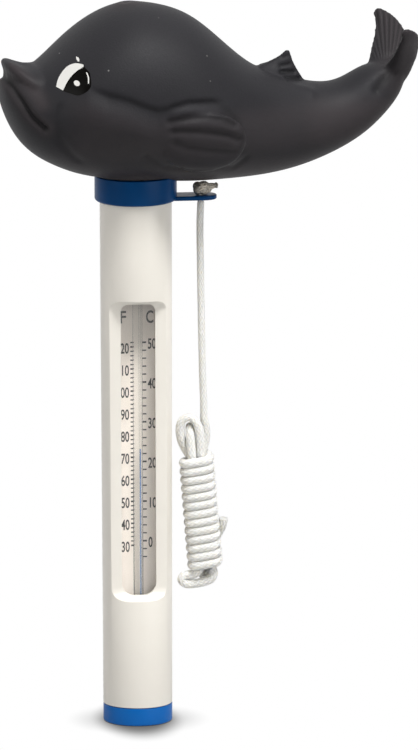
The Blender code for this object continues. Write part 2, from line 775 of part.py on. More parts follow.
def make_bottom() -> None:
    """Make the bottom cap with its seal, the ballast and the foam pieces."""
    quarter = math.pi / 2
    seal_outer = inner_radius
    seal_inner = seal_outer - CAP_SEAL_SECTION
    groove_radius = seal_inner - GAP
    groove_middle = CAP_BAND + PLUG_DEPTH / 2
    groove_half = CAP_SEAL_SECTION / 2 + GAP
    profile = [
        (0.0, plug_top),
        (inner_radius - PLUG_CHAMFER, plug_top),
        (inner_radius, plug_top - PLUG_CHAMFER),
        (inner_radius, groove_middle + groove_half),
        (groove_radius, groove_middle + groove_half),
        (groove_radius, groove_middle - groove_half),
        (inner_radius, groove_middle - groove_half),
        (inner_radius, CAP_BAND),
        (tube_bottom_radius, CAP_BAND),
    ]
    edge_centre = (tube_bottom_radius - CAP_EDGE_RADIUS, CAP_EDGE_RADIUS)
    profile += arc(edge_centre, CAP_EDGE_RADIUS, 0.0, -quarter, ARC_STEPS)
    profile.append((0.0, 0.0))
    place_part(turned("bottom_cap", profile, ROUND_SEGMENTS), BLUE_PLASTIC)

    seal_profile = arc(
        ((seal_outer + seal_inner) / 2, groove_middle), CAP_SEAL_SECTION / 2, quarter, -3 * quarter, 8
    )
    seal = turned("bottom_cap_seal", seal_profile[:-1], ROUND_SEGMENTS, closed=True)
    place_part(seal, GASKET_RUBBER)

    ballast_profile = [
        (0.0, recess_floor),
        (recess_radius, recess_floor),
        (recess_radius, ballast_top),
        (inner_radius, ballast_top),
        (inner_radius, ballast_bottom),
        (0.0, ballast_bottom),
    ]
    place_part(turned("ballast_weight", ballast_profile, ROUND_SEGMENTS), BALLAST_IRON)

    pad = ring("ballast_pad", recess_radius, inner_radius, pad_bottom, pad_bottom + PAD_THICKNESS)
    place_part(pad, GREY_FOAM)
    cushion_floor = recess_floor + GAP
    bulb_cushion = disc(
        "bulb_cushion", recess_radius - GAP, cushion_floor, cushion_floor + BULB_CUSHION_THICKNESS
    )
    place_part(bulb_cushion, GREY_FOAM)
    upper = disc("upper_cushion", inner_radius, cushion_bottom, cushion_bottom + UPPER_CUSHION_THICKNESS)
    place_part(upper, GREY_FOAM)


def make_collar() -> None:
    """Make the blue collar with its spigot, its eyelet tab, and the seal ring under its deck."""
    quarter = math.pi / 2
    skirt_radius = tube_top_radius + GAP
    spigot_inner = spigot_radius - SPIGOT_WALL
    bead_bottom = seat_z + NECK_LENGTH + GAP
    bead_top = bead_bottom + SPIGOT_BEAD_LENGTH
    spigot_top = bead_top + SPIGOT_LEAD
    profile = [
        (0.0, deck_top),
        (spigot_inner, deck_top),
        (spigot_inner, spigot_top),
        (spigot_radius - SPIGOT_BEAD, spigot_top),
        (spigot_radius, bead_top),
        (spigot_radius + SPIGOT_BEAD, bead_bottom + SPIGOT_BEAD_LENGTH / 2),
        (spigot_radius + SPIGOT_BEAD, bead_bottom),
        (spigot_radius, bead_bottom),
        (spigot_radius, deck_top),
        (collar_radius, deck_top),
    ]
    edge_centre = (collar_radius - COLLAR_EDGE_RADIUS, collar_bottom + COLLAR_EDGE_RADIUS)
    profile += arc(edge_centre, COLLAR_EDGE_RADIUS, 0.0, -quarter, ARC_STEPS)
    profile += [(skirt_radius, collar_bottom), (skirt_radius, deck_bottom), (0.0, deck_bottom)]
    collar = turned("eyelet_collar", profile, ROUND_SEGMENTS)

    half_tab = TAB_WIDTH / 2
    tab_root = skirt_radius - half_tab
    tip = arc((TAB_REACH - half_tab, 0.0), half_tab, -quarter, quarter, 2 * ARC_STEPS)
    outline = [(tab_root, -half_tab), *tip, (tab_root, half_tab)]
    tab = plate("eyelet_tab", [outline], TAB_THICKNESS, lying(collar_bottom, TAB_THICKNESS))
    wall_middle = (skirt_radius + collar_radius) / 2
    tube_room = disc("tube_room", wall_middle, collar_bottom - OVERRUN, deck_bottom)
    cut(tab, tube_room)
    eye = rod("eye_cutter", eye_radius, (EYE_REACH, 0.0), collar_bottom - OVERRUN, tab_top + OVERRUN, SMALL_SEGMENTS)
    join(collar, tab)
    cut(collar, eye)
    place_part(collar, BLUE_PLASTIC)

    seal = ring("collar_seal_ring", bore_radius, tube_top_radius, seal_bottom, seal_bottom + COLLAR_SEAL_THICKNESS)
    place_part(seal, GASKET_RUBBER)


def make_float() -> None:
    """Make the hollow whale: body, lip, fins and flukes joined, then the hollow and the neck cut."""
    widen = cage_scale(FLOAT_SEGMENTS)
    whale = loft("whale_float", [body_ring(section, FLOAT_SEGMENTS, widen) for section in BODY_SECTIONS])
    lip = loft("upper_lip", [body_ring(section, FLOAT_SEGMENTS, widen) for section in LIP_SECTIONS])
    dorsal = loft("dorsal_fin", [fin_ring(part, Vector(DORSAL_FACING), 1.0) for part in DORSAL_SECTIONS])
    neck = disc("neck", collar_radius + GAP, 0.0, 2 * NECK_LENGTH)
    forms = [lip, dorsal, neck]
    for label, side in (("left", 1.0), ("right", -1.0)):
        rings = [fin_ring(part, Vector(FLUKE_FACING), side) for part in FLUKE_SECTIONS]
        forms += [loft(f"{label}_fluke", rings), pectoral(f"{label}_pectoral", side)]
    join(whale, *forms)

    room_sections = settled(BODY_SECTIONS)[1:-1]
    room_rings = [body_ring(section, CAVITY_SEGMENTS, 1.0, FLOAT_WALL) for section in room_sections]
    hollow = loft("hollow", room_rings, levels=0)
    seat_radius = collar_radius + SEAT_ROOM
    neck_floor = disc("neck_floor", seat_radius + FLOAT_WALL, -OVERRUN, NECK_LENGTH)
    cut(hollow, neck_floor)
    seat = disc("collar_seat", seat_radius, -2 * OVERRUN, 0.0)
    neck_hole = disc("neck_hole", spigot_radius + GAP, -OVERRUN, NECK_LENGTH + OVERRUN)
    cut(whale, hollow, seat, neck_hole)
    place_part(whale, VINYL)

    axis = bpy.data.objects.new("float_swivel_axis", None)
    axis.location = (0.0, 0.0, seat_z)
    axis.rotation_euler.z = FLOAT_YAW
    parts.objects.link(axis)
    for obj in (whale, *forms, hollow, neck_floor, seat, neck_hole):
        obj.parent = axis


def make_knot() -> None:
    """Make the stopper knot on the tab, with the cord's stretch through the eye and its cut tail."""
    knot_bottom = tab_top + GAP
    middle = knot_bottom + KNOT_HEIGHT / 2
    quarter = math.pi / 2
    ball = [
        (KNOT_DIAMETER / 2 * math.cos(angle), middle + KNOT_HEIGHT / 2 * math.sin(angle))
        for angle in (quarter - step * math.pi / KNOT_STEPS for step in range(KNOT_STEPS - 2))
    ]
    ball[0] = (0.0, middle + KNOT_HEIGHT / 2)
    profile = ball + [(cord_radius, tab_top - GAP), (cord_radius, collar_bottom), (0.0, collar_bottom)]
    knot = turned("tether_knot", profile, SMALL_SEGMENTS)
    knot.location = (EYE_REACH, 0.0, 0.0)
    start = Vector((EYE_REACH + KNOT_DIAMETER / 4, 0.0, middle))
    tail_end = start + Vector((KNOT_TAIL_LENGTH, 0.0, KNOT_HEIGHT / 2 - cord_radius))
    tail = cord_tube("knot_tail", [start, (start + tail_end) / 2, tail_end], 1, False)
    join(knot, tail)
    place_part(knot, BRAID)


def make_cord() -> Vector:
    """Make the free cord below the eye, and return the place where the hank hangs on it."""
    route = [swing_pivot + Vector(point) * MM for point in CORD_ROUTE]
    cord = cord_tube("tether_cord", smooth_route(route, 2.5 * CORD_DIAMETER), 2, True)
    on_axis(cord, "tether_swing_axis", swing_pivot)
    place_part(cord, BRAID)
    return route[-1] + Vector((0.0, 0.0, -cord_radius - GAP))


def wrap_points() -> list:
    """Return the hank's wraps: turns of a rounded square about the four runs, going down."""
    corner_radius = CORD_DIAMETER + HANK_CLEARANCE
    points = []
    for index in range(round(HANK_TURNS * POINTS_PER_TURN) + 1):
        turn = index / POINTS_PER_TURN
        angle = WRAP_START + 2 * math.pi * turn
        across = Vector((math.cos(angle), math.sin(angle), 0.0))
        corner = Vector([HANK_RUN_OFFSET * max(-1.0, min(1.0, WRAP_SQUARENESS * part)) for part in across])
        down = Vector((0.0, 0.0, cord_radius + HANK_PITCH * turn))
        points.append(corner + across * corner_radius + down)
    return points


def least_gap(route: list) -> float:
    """Return the least clear distance of a cord to itself, between points well apart along it."""
    lengths = [0.0]
    for first, second in zip(route, route[1:]):
        lengths.append(lengths[-1] + (second - first).length)
    apart = 3.0 * CORD_DIAMETER
    least = math.inf
    for index, point in enumerate(route):
        for other in range(index + 1, len(route) - 1):
            if lengths[other] - lengths[index] < apart:
                continue
            start = route[other]
            run = route[other + 1] - start
            share = max(0.0, min(1.0, (point - start).dot(run) / run.length_squared))
            least = min(least, (start + run * share - point).length)
    return least - CORD_DIAMETER


def make_hank(pivot: Vector) -> None:
    """Make the hank: four runs, their folds and the wraps, as one unbroken cord."""
    legs = []
    for fold in (HANK_ENTRY_ROUTE + HANK_BACK_FOLD, HANK_TOP_FOLD, HANK_FRONT_FOLD + HANK_TURN_IN):
        legs += [Vector(point) * MM for point in fold]
    inner_route = smooth_route(legs, CORD_DIAMETER)
    wraps = wrap_points()
    tail = [Vector(point) * MM for point in HANK_TAIL_ROUTE]
    lead_in = smooth_route([inner_route[-1], *wraps[2:4]], CORD_DIAMETER)[1:-1]
    lead_out = smooth_route([wraps[-1], *tail], CORD_DIAMETER)[1:]
    local = inner_route + lead_in + wraps[3:] + lead_out
    print(f"least gap of the hank to itself: {least_gap(local) / MM:.2f} mm")

    lean = Matrix.Rotation(-HANK_LEAN, 4, "Y")
    upright = [lean @ Vector((right, back, -down)) for right, back, down in local]
    shift = pivot - upright[0]
    route = [point + shift for point in upright]
    hank = cord_tube("tether_hank", route, 1, True)
    on_axis(hank, "hank_sway_axis", pivot)
    place_part(hank, BRAID)
    length = sum((second - first).length for first, second in zip(route, route[1:]))
    print(f"cord in the hank: {length / MM:.0f} mm, its pivot at {tuple(round(v, 5) for v in pivot)}")


clear_scene()
parts = new_collection("floating_pool_thermometer")
cutters = new_collection("cutters")

VINYL = finish("dark_vinyl", (0.040, 0.040, 0.043), 0.55)
BLUE_PLASTIC = finish("blue_plastic", (0.004, 0.105, 0.400), 0.30)
WHITE_PLASTIC = finish("white_plastic", (0.80, 0.78, 0.74), 0.35)
CLEAR_PLASTIC = finish("clear_plastic", (0.90, 0.92, 0.92), 0.08)
CLEAR_GLASS = finish("clear_glass", (0.88, 0.93, 0.93), 0.03)
BLUE_SPIRIT = finish("blue_spirit", (0.03, 0.10, 0.42), 0.15)
CARD_PAPER = finish("card_paper", (0.78, 0.75, 0.70), 0.70)
GREY_PLASTIC = finish("grey_plastic", (0.55, 0.54, 0.52), 0.45)
SPRING_STEEL = finish("spring_steel", (0.60, 0.60, 0.61), 0.30, 1.0)
GASKET_RUBBER = finish("gasket_rubber", (0.03, 0.03, 0.03), 0.60)
GREY_FOAM = finish("grey_foam", (0.30, 0.30, 0.31), 0.90)
BALLAST_IRON = finish("ballast_iron", (0.25, 0.25, 0.26), 0.55, 1.0)
BRAID = finish("white_braid", (0.86, 0.85, 0.80), 0.80)

make_bottom()
make_case_tube()
make_window()
make_carrier()
make_thermometer()
make_collar()
make_float()
make_knot()
make_hank(make_cord())
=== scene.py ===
"""Looks of a floating pool thermometer: whale float, windowed tube, spirit stem and tether cord.

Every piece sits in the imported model's frame: metres, +Z up the tube, -Y out of the window.
"""
import json
import logging
import math
from dataclasses import dataclass
from enum import Enum
from typing import NamedTuple

import bmesh
import bpy
import numpy as np
from mathutils import Matrix, Vector
from mathutils.bvhtree import BVHTree

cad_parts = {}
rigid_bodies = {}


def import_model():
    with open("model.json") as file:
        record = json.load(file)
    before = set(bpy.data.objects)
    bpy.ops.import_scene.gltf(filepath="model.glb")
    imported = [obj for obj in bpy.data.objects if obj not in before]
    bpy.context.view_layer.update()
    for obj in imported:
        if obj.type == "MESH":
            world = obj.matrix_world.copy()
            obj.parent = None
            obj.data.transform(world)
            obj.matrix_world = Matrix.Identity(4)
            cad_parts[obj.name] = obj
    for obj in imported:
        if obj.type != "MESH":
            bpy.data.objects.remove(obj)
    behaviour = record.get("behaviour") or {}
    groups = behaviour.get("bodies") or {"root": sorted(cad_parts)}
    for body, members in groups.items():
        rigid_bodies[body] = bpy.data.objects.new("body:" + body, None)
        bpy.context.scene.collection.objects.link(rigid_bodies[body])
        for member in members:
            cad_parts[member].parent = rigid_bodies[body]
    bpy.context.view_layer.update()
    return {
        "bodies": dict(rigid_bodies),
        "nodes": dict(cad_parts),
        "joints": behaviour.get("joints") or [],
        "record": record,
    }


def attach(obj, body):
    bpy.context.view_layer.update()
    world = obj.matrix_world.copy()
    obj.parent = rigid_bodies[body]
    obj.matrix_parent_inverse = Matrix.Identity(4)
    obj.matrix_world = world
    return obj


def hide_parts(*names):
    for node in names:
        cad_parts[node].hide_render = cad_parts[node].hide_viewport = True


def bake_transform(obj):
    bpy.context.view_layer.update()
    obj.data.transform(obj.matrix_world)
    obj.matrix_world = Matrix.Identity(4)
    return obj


log = logging.getLogger("pool_thermometer")

MM = 0.001
GAP = 0.3 * MM
MERGE = 1e-6
QUARTER = math.pi / 2

Colour = tuple[float, float, float]
Point = tuple[float, float, float]
Spot = tuple[float, float]


class Body(Enum):
    """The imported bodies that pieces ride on."""

    CASE = "case"
    FLOAT = "float"
    TETHER = "tether"
    HANK = "hank"
    SPIRIT = "spirit"


class Cut(Enum):
    """What a boolean does with its second shape."""

    REMOVE = "DIFFERENCE"
    ADD = "UNION"


class NodeSheet:
    """A node tree with short calls that add and wire its nodes."""

    def __init__(self, tree: bpy.types.NodeTree) -> None:
        """Keep the tree that the calls write to."""
        self.tree = tree

    def add(self, kind: str, **settings: object) -> bpy.types.Node:
        """Add a node.

        Args:
            kind: The node's type name.
            settings: Properties set on the node.

        Returns:
            The new node.
        """
        node = self.tree.nodes.new(kind)
        for name, value in settings.items():
            setattr(node, name, value)
        return node

    def feed(self, socket: bpy.types.NodeSocket, term: object) -> None:
        """Wire a socket into an input, or set the input's own value."""
        if isinstance(term, bpy.types.NodeSocket):
            self.tree.links.new(term, socket)
        else:
            socket.default_value = term

    def maths(self, operation: str, *terms: object) -> bpy.types.NodeSocket:
        """Add a Math node.

        Args:
            operation: The node's operation.
            terms: Numbers or sockets for its inputs, in order.

        Returns:
            The result's socket.
        """
        node = self.add("ShaderNodeMath", operation=operation)
        for socket, term in zip(node.inputs, terms):
            self.feed(socket, term)
        return node.outputs[0]

    def scaled(self, colour: object, factor: object) -> bpy.types.NodeSocket:
        """Return a colour times a factor."""
        node = self.add("ShaderNodeVectorMath", operation="SCALE")
        self.feed(node.inputs[0], colour)
        self.feed(node.inputs["Scale"], factor)
        return node.outputs[0]

    def mixed(self, share: object, first: object, second: object) -> bpy.types.NodeSocket:
        """Return a colour between two others.

        Args:
            share: How much of the second colour shows.
            first: A colour or its socket.
            second: A colour or its socket.

        Returns:
            The mixed colour's socket.
        """
        node = self.add("ShaderNodeMix", data_type="RGBA")
        self.feed(node.inputs[0], share)
        self.feed(node.inputs[6], first)
        self.feed(node.inputs[7], second)
        return node.outputs[2]

    def noise(self, place: object, scale: object, detail: float = 2.0) -> bpy.types.NodeSocket:
        """Return noise between about 0.25 and 0.75 over a place."""
        node = self.add("ShaderNodeTexNoise")
        self.feed(node.inputs["Vector"], place)
        self.feed(node.inputs["Scale"], scale)
        node.inputs["Detail"].default_value = detail
        return node.outputs[0]

    def step(self, value: object, low: float, high: float) -> bpy.types.NodeSocket:
        """Return a soft step from 0 at one value to 1 at another."""
        node = self.add("ShaderNodeMapRange", interpolation_type="SMOOTHSTEP")
        self.feed(node.inputs[0], value)
        node.inputs[1].default_value = low
        node.inputs[2].default_value = high
        return node.outputs[0]

    def group(self, tree: bpy.types.NodeTree, **values: object) -> bpy.types.Node:
        """Place a shared group.

        Args:
            tree: The group's tree.
            values: Its inputs, with spaces in their names as underscores.

        Returns:
            The group's node.
        """
        node = self.add("ShaderNodeGroup", node_tree=tree)
        for name, value in values.items():
            self.feed(node.inputs[name.replace("_", " ")], value)
        return node


class SharedGroups:
    """The shader node groups that several finishes use, each built on its first call."""

    @staticmethod
    def start(name: str, inputs: dict[str, str], outputs: dict[str, str]) -> bpy.types.NodeTree:
        """Make an empty group.

        Args:
            name: The group's name.
            inputs: Socket types by input name.
            outputs: Socket types by output name.

        Returns:
            The group's tree with its two end nodes.
        """
        tree = bpy.data.node_groups.new(name, "ShaderNodeTree")
        for label, kind in inputs.items():
            tree.interface.new_socket(label, in_out="INPUT", socket_type=kind)
        for label, kind in outputs.items():
            tree.interface.new_socket(label, in_out="OUTPUT", socket_type=kind)
        tree.nodes.new("NodeGroupInput")
        tree.nodes.new("NodeGroupOutput")
        return tree

    @staticmethod
    def moulded_skin() -> bpy.types.NodeTree:
        """Return the group of a moulded surface: mottled colour, uneven gloss and fine grain."""
        if "moulded_skin" in bpy.data.node_groups:
            return bpy.data.node_groups["moulded_skin"]
        number = "NodeSocketFloat"
        tree = SharedGroups.start(
            "moulded_skin",
            {"Colour": "NodeSocketColor", "Roughness": number, "Mottle": number, "Grain Scale": number},
            {"Colour": "NodeSocketColor", "Roughness": number, "Height": number},
        )
        sheet = NodeSheet(tree)
        given, out = tree.nodes["Group Input"], tree.nodes["Group Output"]
        place = sheet.add("ShaderNodeTexCoord").outputs["Object"]
        cloud = sheet.maths("SUBTRACT", sheet.noise(place, 55.0, 3.0), 0.5)
        shade = sheet.maths("MULTIPLY_ADD", cloud, sheet.maths("MULTIPLY", given.outputs["Mottle"], 4.0), 1.0)
        sheet.feed(out.inputs["Colour"], sheet.scaled(given.outputs["Colour"], shade))
        grain = sheet.noise(place, given.outputs["Grain Scale"])
        uneven = sheet.maths("MULTIPLY_ADD", sheet.maths("SUBTRACT", grain, 0.5), 0.14, given.outputs["Roughness"])
        smear = sheet.maths("MULTIPLY_ADD", cloud, 0.10, uneven)
        sheet.feed(out.inputs["Roughness"], smear)
        sheet.feed(out.inputs["Height"], grain)
        return tree

    @staticmethod
    def dust_specks() -> bpy.types.NodeTree:
        """Return the group of sparse pale specks of dust, as a mask."""
        if "dust_specks" in bpy.data.node_groups:
            return bpy.data.node_groups["dust_specks"]
        number = "NodeSocketFloat"
        tree = SharedGroups.start("dust_specks", {"Spacing": number}, {"Mask": number})
        sheet = NodeSheet(tree)
        given, out = tree.nodes["Group Input"], tree.nodes["Group Output"]
        place = sheet.add("ShaderNodeTexCoord").outputs["Object"]
        cells = sheet.add("ShaderNodeTexVoronoi")
        sheet.feed(cells.inputs["Vector"], place)
        sheet.feed(cells.inputs["Scale"], given.outputs["Spacing"])
        speck = sheet.maths("SUBTRACT", 1.0, sheet.step(cells.outputs["Distance"], 0.03, 0.06))
        where = sheet.step(sheet.noise(place, 90.0), 0.52, 0.62)
        sheet.feed(out.inputs["Mask"], sheet.maths("MULTIPLY", speck, where))
        return tree

    @staticmethod
    def braid_weave() -> bpy.types.NodeTree:
        """Return the group of a round braid over the cord's own map: millimetres along, turns around."""
        if "braid_weave" in bpy.data.node_groups:
            return bpy.data.node_groups["braid_weave"]
        number = "NodeSocketFloat"
        tree = SharedGroups.start(
            "braid_weave", {"Strands": number, "Lay": number}, {"Height": number, "Shade": number}
        )
        sheet = NodeSheet(tree)
        given, out = tree.nodes["Group Input"], tree.nodes["Group Output"]
        split = sheet.add("ShaderNodeSeparateXYZ")
        sheet.feed(split.inputs[0], sheet.add("ShaderNodeUVMap", uv_map="UVMap").outputs[0])
        around = sheet.maths("MULTIPLY", split.outputs[1], given.outputs["Strands"])
        along = sheet.maths("MULTIPLY", split.outputs[0], given.outputs["Lay"])
        right = sheet.maths("ADD", around, along)
        left = sheet.maths("SUBTRACT", around, along)
        bows = []
        for strand in (right, left):
            across = sheet.maths("MULTIPLY_ADD", sheet.maths("FRACT", strand), 2.0, -1.0)
            bows.append(sheet.maths("MULTIPLY", across, across))
        cell = sheet.maths("ADD", sheet.maths("FLOOR", right), sheet.maths("FLOOR", left))
        under = sheet.maths("GREATER_THAN", sheet.maths("FRACT", sheet.maths("MULTIPLY", cell, 0.5)), 0.25)
        rises = []
        for across, length in (bows, bows[::-1]):
            crown = sheet.maths("SUBTRACT", 1.0, across)
            dip = sheet.maths("MULTIPLY_ADD", length, -0.45, 1.0)
            rises.append(sheet.maths("MULTIPLY", crown, dip))
        lower = sheet.maths("MULTIPLY", rises[0], sheet.maths("SUBTRACT", 1.0, under))
        height = sheet.maths("MULTIPLY_ADD", rises[1], under, lower)
        sheet.feed(out.inputs["Height"], height)
        # The weave's Shade darkens the braid's crevices: painted shade.
        sheet.feed(out.inputs["Shade"], sheet.maths("MULTIPLY_ADD", height, 0.24, 0.80))
        return tree


@dataclass(frozen=True)
class Finish:
    """A moulded, cast, cut or foamed material with mottled colour and fine grain."""

    name: str
    slot: str
    colour: Colour
    roughness: float
    mottle: float = 0.03
    grain_scale: float = 1800.0
    grain_depth: float = 0.02 * MM
    metallic: float = 0.0
    specular: float = 0.5
    coat: float = 0.0
    dust: float = 0.0
    sheen: float = 0.0
    scatter: float = 0.0
    scatter_depth: float = 1.0 * MM

    def material(self) -> bpy.types.Material:
        """Return the finish's material, built on its first use."""
        if self.name in bpy.data.materials:
            return bpy.data.materials[self.name]
        material = bpy.data.materials.new(self.name)
        material.use_nodes = True
        sheet = NodeSheet(material.node_tree)
        shader = material.node_tree.nodes["Principled BSDF"]
        shader.inputs["Metallic"].default_value = self.metallic
        shader.inputs["Specular IOR Level"].default_value = self.specular
        shader.inputs["Coat Weight"].default_value = self.coat
        shader.inputs["Sheen Weight"].default_value = self.sheen
        shader.inputs["Subsurface Weight"].default_value = self.scatter
        shader.inputs["Subsurface Scale"].default_value = self.scatter_depth
        shader.inputs["Subsurface Radius"].default_value = (1.0, 0.95, 0.85)
        self.dress(sheet, shader)
        return material

    def skin(self, sheet: NodeSheet, colour: object) -> bpy.types.Node:
        """Place the moulded skin with this finish's values over a colour."""
        return sheet.group(
            SharedGroups.moulded_skin(),
            Colour=colour,
            Roughness=self.roughness,
            Mottle=self.mottle,
            Grain_Scale=self.grain_scale,
        )

    def bump(self, sheet: NodeSheet, shader: bpy.types.Node, height: object, depth: float) -> None:
        """Give the shader a bump of a depth from a height."""
        node = sheet.add("ShaderNodeBump")
        node.inputs["Strength"].default_value = 1.0
        node.inputs["Distance"].default_value = depth
        sheet.feed(node.inputs["Height"], height)
        sheet.feed(shader.inputs["Normal"], node.outputs[0])

    def dress(self, sheet: NodeSheet, shader: bpy.types.Node) -> None:
        """Wire the finish's colour, gloss and grain to the shader.

        Args:
            sheet: The material's node sheet.
            shader: Its Principled shader.
        """
        skin = self.skin(sheet, (*self.colour, 1.0))
        colour = skin.outputs["Colour"]
        if self.dust:
            specks = sheet.group(SharedGroups.dust_specks(), Spacing=self.dust)
            colour = sheet.mixed(sheet.maths("MULTIPLY", specks.outputs["Mask"], 0.5), colour, (0.7, 0.69, 0.66, 1.0))
        sheet.feed(shader.inputs["Base Color"], colour)
        sheet.feed(shader.inputs["Roughness"], skin.outputs["Roughness"])
        self.bump(sheet, shader, skin.outputs["Height"], self.grain_depth)


@dataclass(frozen=True)
class VinylFinish(Finish):
    """Soft vinyl with a paler warm tint, worn paint on the rims and painted light on the lower flanks and tail, and
    painted shade in its creases.
    """

    # A paler warm colour: worn paint on the rims, painted light on the lower flanks and the tail.
    warm: Colour = (0.036, 0.0295, 0.0315)
    # The colour that creases darken to: painted shade.
    deep: Colour = (0.003, 0.003, 0.0035)

    def dress(self, sheet: NodeSheet, shader: bpy.types.Node) -> None:
        """Wire the float's painted crease shade and its paler tint of worn paint and painted light over the moulded
        skin.
        """
        wear_and_light = sheet.add("ShaderNodeAttribute", attribute_name="wear_and_light").outputs["Fac"]
        crease = sheet.add("ShaderNodeAttribute", attribute_name="crease").outputs["Fac"]
        tinted_with_wear_and_light = sheet.mixed(wear_and_light, (*self.colour, 1.0), (*self.warm, 1.0))
        skin = self.skin(sheet, tinted_with_wear_and_light)
        # Creases darken toward that colour: painted shade.
        crease_shaded = sheet.mixed(crease, skin.outputs["Colour"], (*self.deep, 1.0))
        specks = sheet.group(SharedGroups.dust_specks(), Spacing=self.dust)
        dusty = sheet.mixed(sheet.maths("MULTIPLY", specks.outputs["Mask"], 0.35), crease_shaded, (0.45, 0.44, 0.42, 1.0))
        sheet.feed(shader.inputs["Base Color"], dusty)
        sheet.feed(shader.inputs["Roughness"], skin.outputs["Roughness"])
        self.bump(sheet, shader, skin.outputs["Height"], self.grain_depth)


@dataclass(frozen=True)
class BraidFinish(Finish):
    """Braided cord, its weave on the cord's own map."""

    strands: float = 8.0
    lay: float = 0.5
    weave_depth: float = 0.22 * MM

    def dress(self, sheet: NodeSheet, shader: bpy.types.Node) -> None:
        """Wire the braid's shade and height over the moulded skin."""
        weave = sheet.group(SharedGroups.braid_weave(), Strands=self.strands, Lay=self.lay)
        skin = self.skin(sheet, (*self.colour, 1.0))
        sheet.feed(shader.inputs["Base Color"], sheet.scaled(skin.outputs["Colour"], weave.outputs["Shade"]))
        sheet.feed(shader.inputs["Roughness"], skin.outputs["Roughness"])
        height = sheet.maths("MULTIPLY_ADD", skin.outputs["Height"], 0.6, weave.outputs["Height"])
        self.bump(sheet, shader, height, self.weave_depth)


@dataclass(frozen=True)
class ClearFinish(Finish):
    """Clear glass or plastic that lets the lamps' light through to what is behind it."""

    refraction: float = 1.49

    def dress(self, sheet: NodeSheet, shader: bpy.types.Node) -> None:
        """Wire a clear shader that is transparent to shadow rays."""
        shader.inputs["Transmission Weight"].default_value = 1.0
        shader.inputs["IOR"].default_value = self.refraction
        skin = self.skin(sheet, (*self.colour, 1.0))
        sheet.feed(shader.inputs["Base Color"], skin.outputs["Colour"])
        shader.inputs["Roughness"].default_value = self.roughness
        self.bump(sheet, shader, skin.outputs["Height"], self.grain_depth)
        passing = sheet.add("ShaderNodeBsdfTransparent")
        passing.inputs["Color"].default_value = (*self.colour, 1.0)
        mix = sheet.add("ShaderNodeMixShader")
        sheet.feed(mix.inputs[0], sheet.add("ShaderNodeLightPath").outputs["Is Shadow Ray"])
        sheet.feed(mix.inputs[1], shader.outputs[0])
        sheet.feed(mix.inputs[2], passing.outputs[0])
        sheet.feed(sheet.tree.nodes["Material Output"].inputs["Surface"], mix.outputs[0])


VINYL = VinylFinish(
    "soft_vinyl", "dark_vinyl", (0.0156, 0.0150, 0.0178), 0.60, mottle=0.10, grain_scale=1500.0,
    grain_depth=0.05 * MM, specular=0.22, dust=150.0,
)
BLUE_PLASTIC = Finish(
    "blue_moulding", "blue_plastic", (0.002, 0.115, 0.410), 0.36, mottle=0.05, grain_scale=900.0,
    grain_depth=0.012 * MM, specular=0.18,
)
# The cap's blue made darker for the collar and its tab: painted shade of the whale above it.
SHADED_BLUE_PLASTIC = Finish(
    "blue_moulding_painted_shade", "blue_plastic", (0.001, 0.047, 0.160), 0.36, mottle=0.05, grain_scale=900.0,
    grain_depth=0.012 * MM, specular=0.10,
)
WHITE_PLASTIC = Finish(
    "white_moulding", "white_plastic", (0.85, 0.81, 0.735), 0.34, mottle=0.012, grain_scale=700.0,
    grain_depth=0.012 * MM,
)
GREY_PLASTIC = Finish("grey_moulding", "grey_plastic", (0.55, 0.54, 0.52), 0.45)
CARD_PAPER = Finish(
    "card_face", "card_paper", (0.80, 0.737, 0.675), 0.62, mottle=0.02, grain_scale=4000.0, specular=0.35
)
PRINT_INK = Finish("black_ink", "card_paper", (0.012, 0.010, 0.009), 0.45, grain_scale=5000.0)
LENS_PLASTIC = ClearFinish(
    "window_pane", "clear_plastic", (0.98, 0.975, 0.965), 0.03, mottle=0.0, grain_scale=120.0,
    grain_depth=0.004 * MM, refraction=1.49,
)
STEM_GLASS = ClearFinish(
    "drawn_glass", "clear_glass", (0.965, 0.97, 0.965), 0.01, mottle=0.0, grain_scale=200.0,
    grain_depth=0.004 * MM, refraction=1.14,
)
SPIRIT = Finish("dyed_spirit", "blue_spirit", (0.10, 0.20, 0.42), 0.12, coat=0.5)
SPRING_STEEL = Finish("bright_spring", "spring_steel", (0.60, 0.60, 0.61), 0.28, metallic=1.0)
BALLAST_IRON = Finish("plain_iron", "ballast_iron", (0.25, 0.25, 0.26), 0.55, metallic=1.0, grain_depth=0.05 * MM)
GASKET_RUBBER = Finish("seal_rubber", "gasket_rubber", (0.03, 0.03, 0.03), 0.62)
GREY_FOAM = Finish("cell_foam", "grey_foam", (0.30, 0.30, 0.31), 0.90, mottle=0.08, grain_scale=1400.0, grain_depth=0.2 * MM)
BRAID = BraidFinish(
    "cord_braid", "white_braid", (0.95, 0.935, 0.885), 0.78, mottle=0.03, grain_scale=2400.0, sheen=0.3, scatter=0.85,
    scatter_depth=1.4 * MM,
)
# The cord's braid made darker and browner for the knot and its fray: painted shade under the whale.
SHADED_BRAID = BraidFinish(
    "cord_braid_painted_shade", "white_braid", (0.60, 0.55, 0.47), 0.85, mottle=0.05, grain_scale=2400.0, scatter=0.5,
    scatter_depth=1.0 * MM,
)
EYE_WHITE = Finish("eye_white_paint", "dark_vinyl", (0.70, 0.69, 0.66), 0.32, grain_scale=2500.0, grain_depth=0.01 * MM)
EYE_DARK = Finish(
    "eye_dark_paint", "dark_vinyl", (0.0030, 0.0026, 0.0022), 0.25, grain_scale=2500.0, grain_depth=0.01 * MM, specular=0.08
)


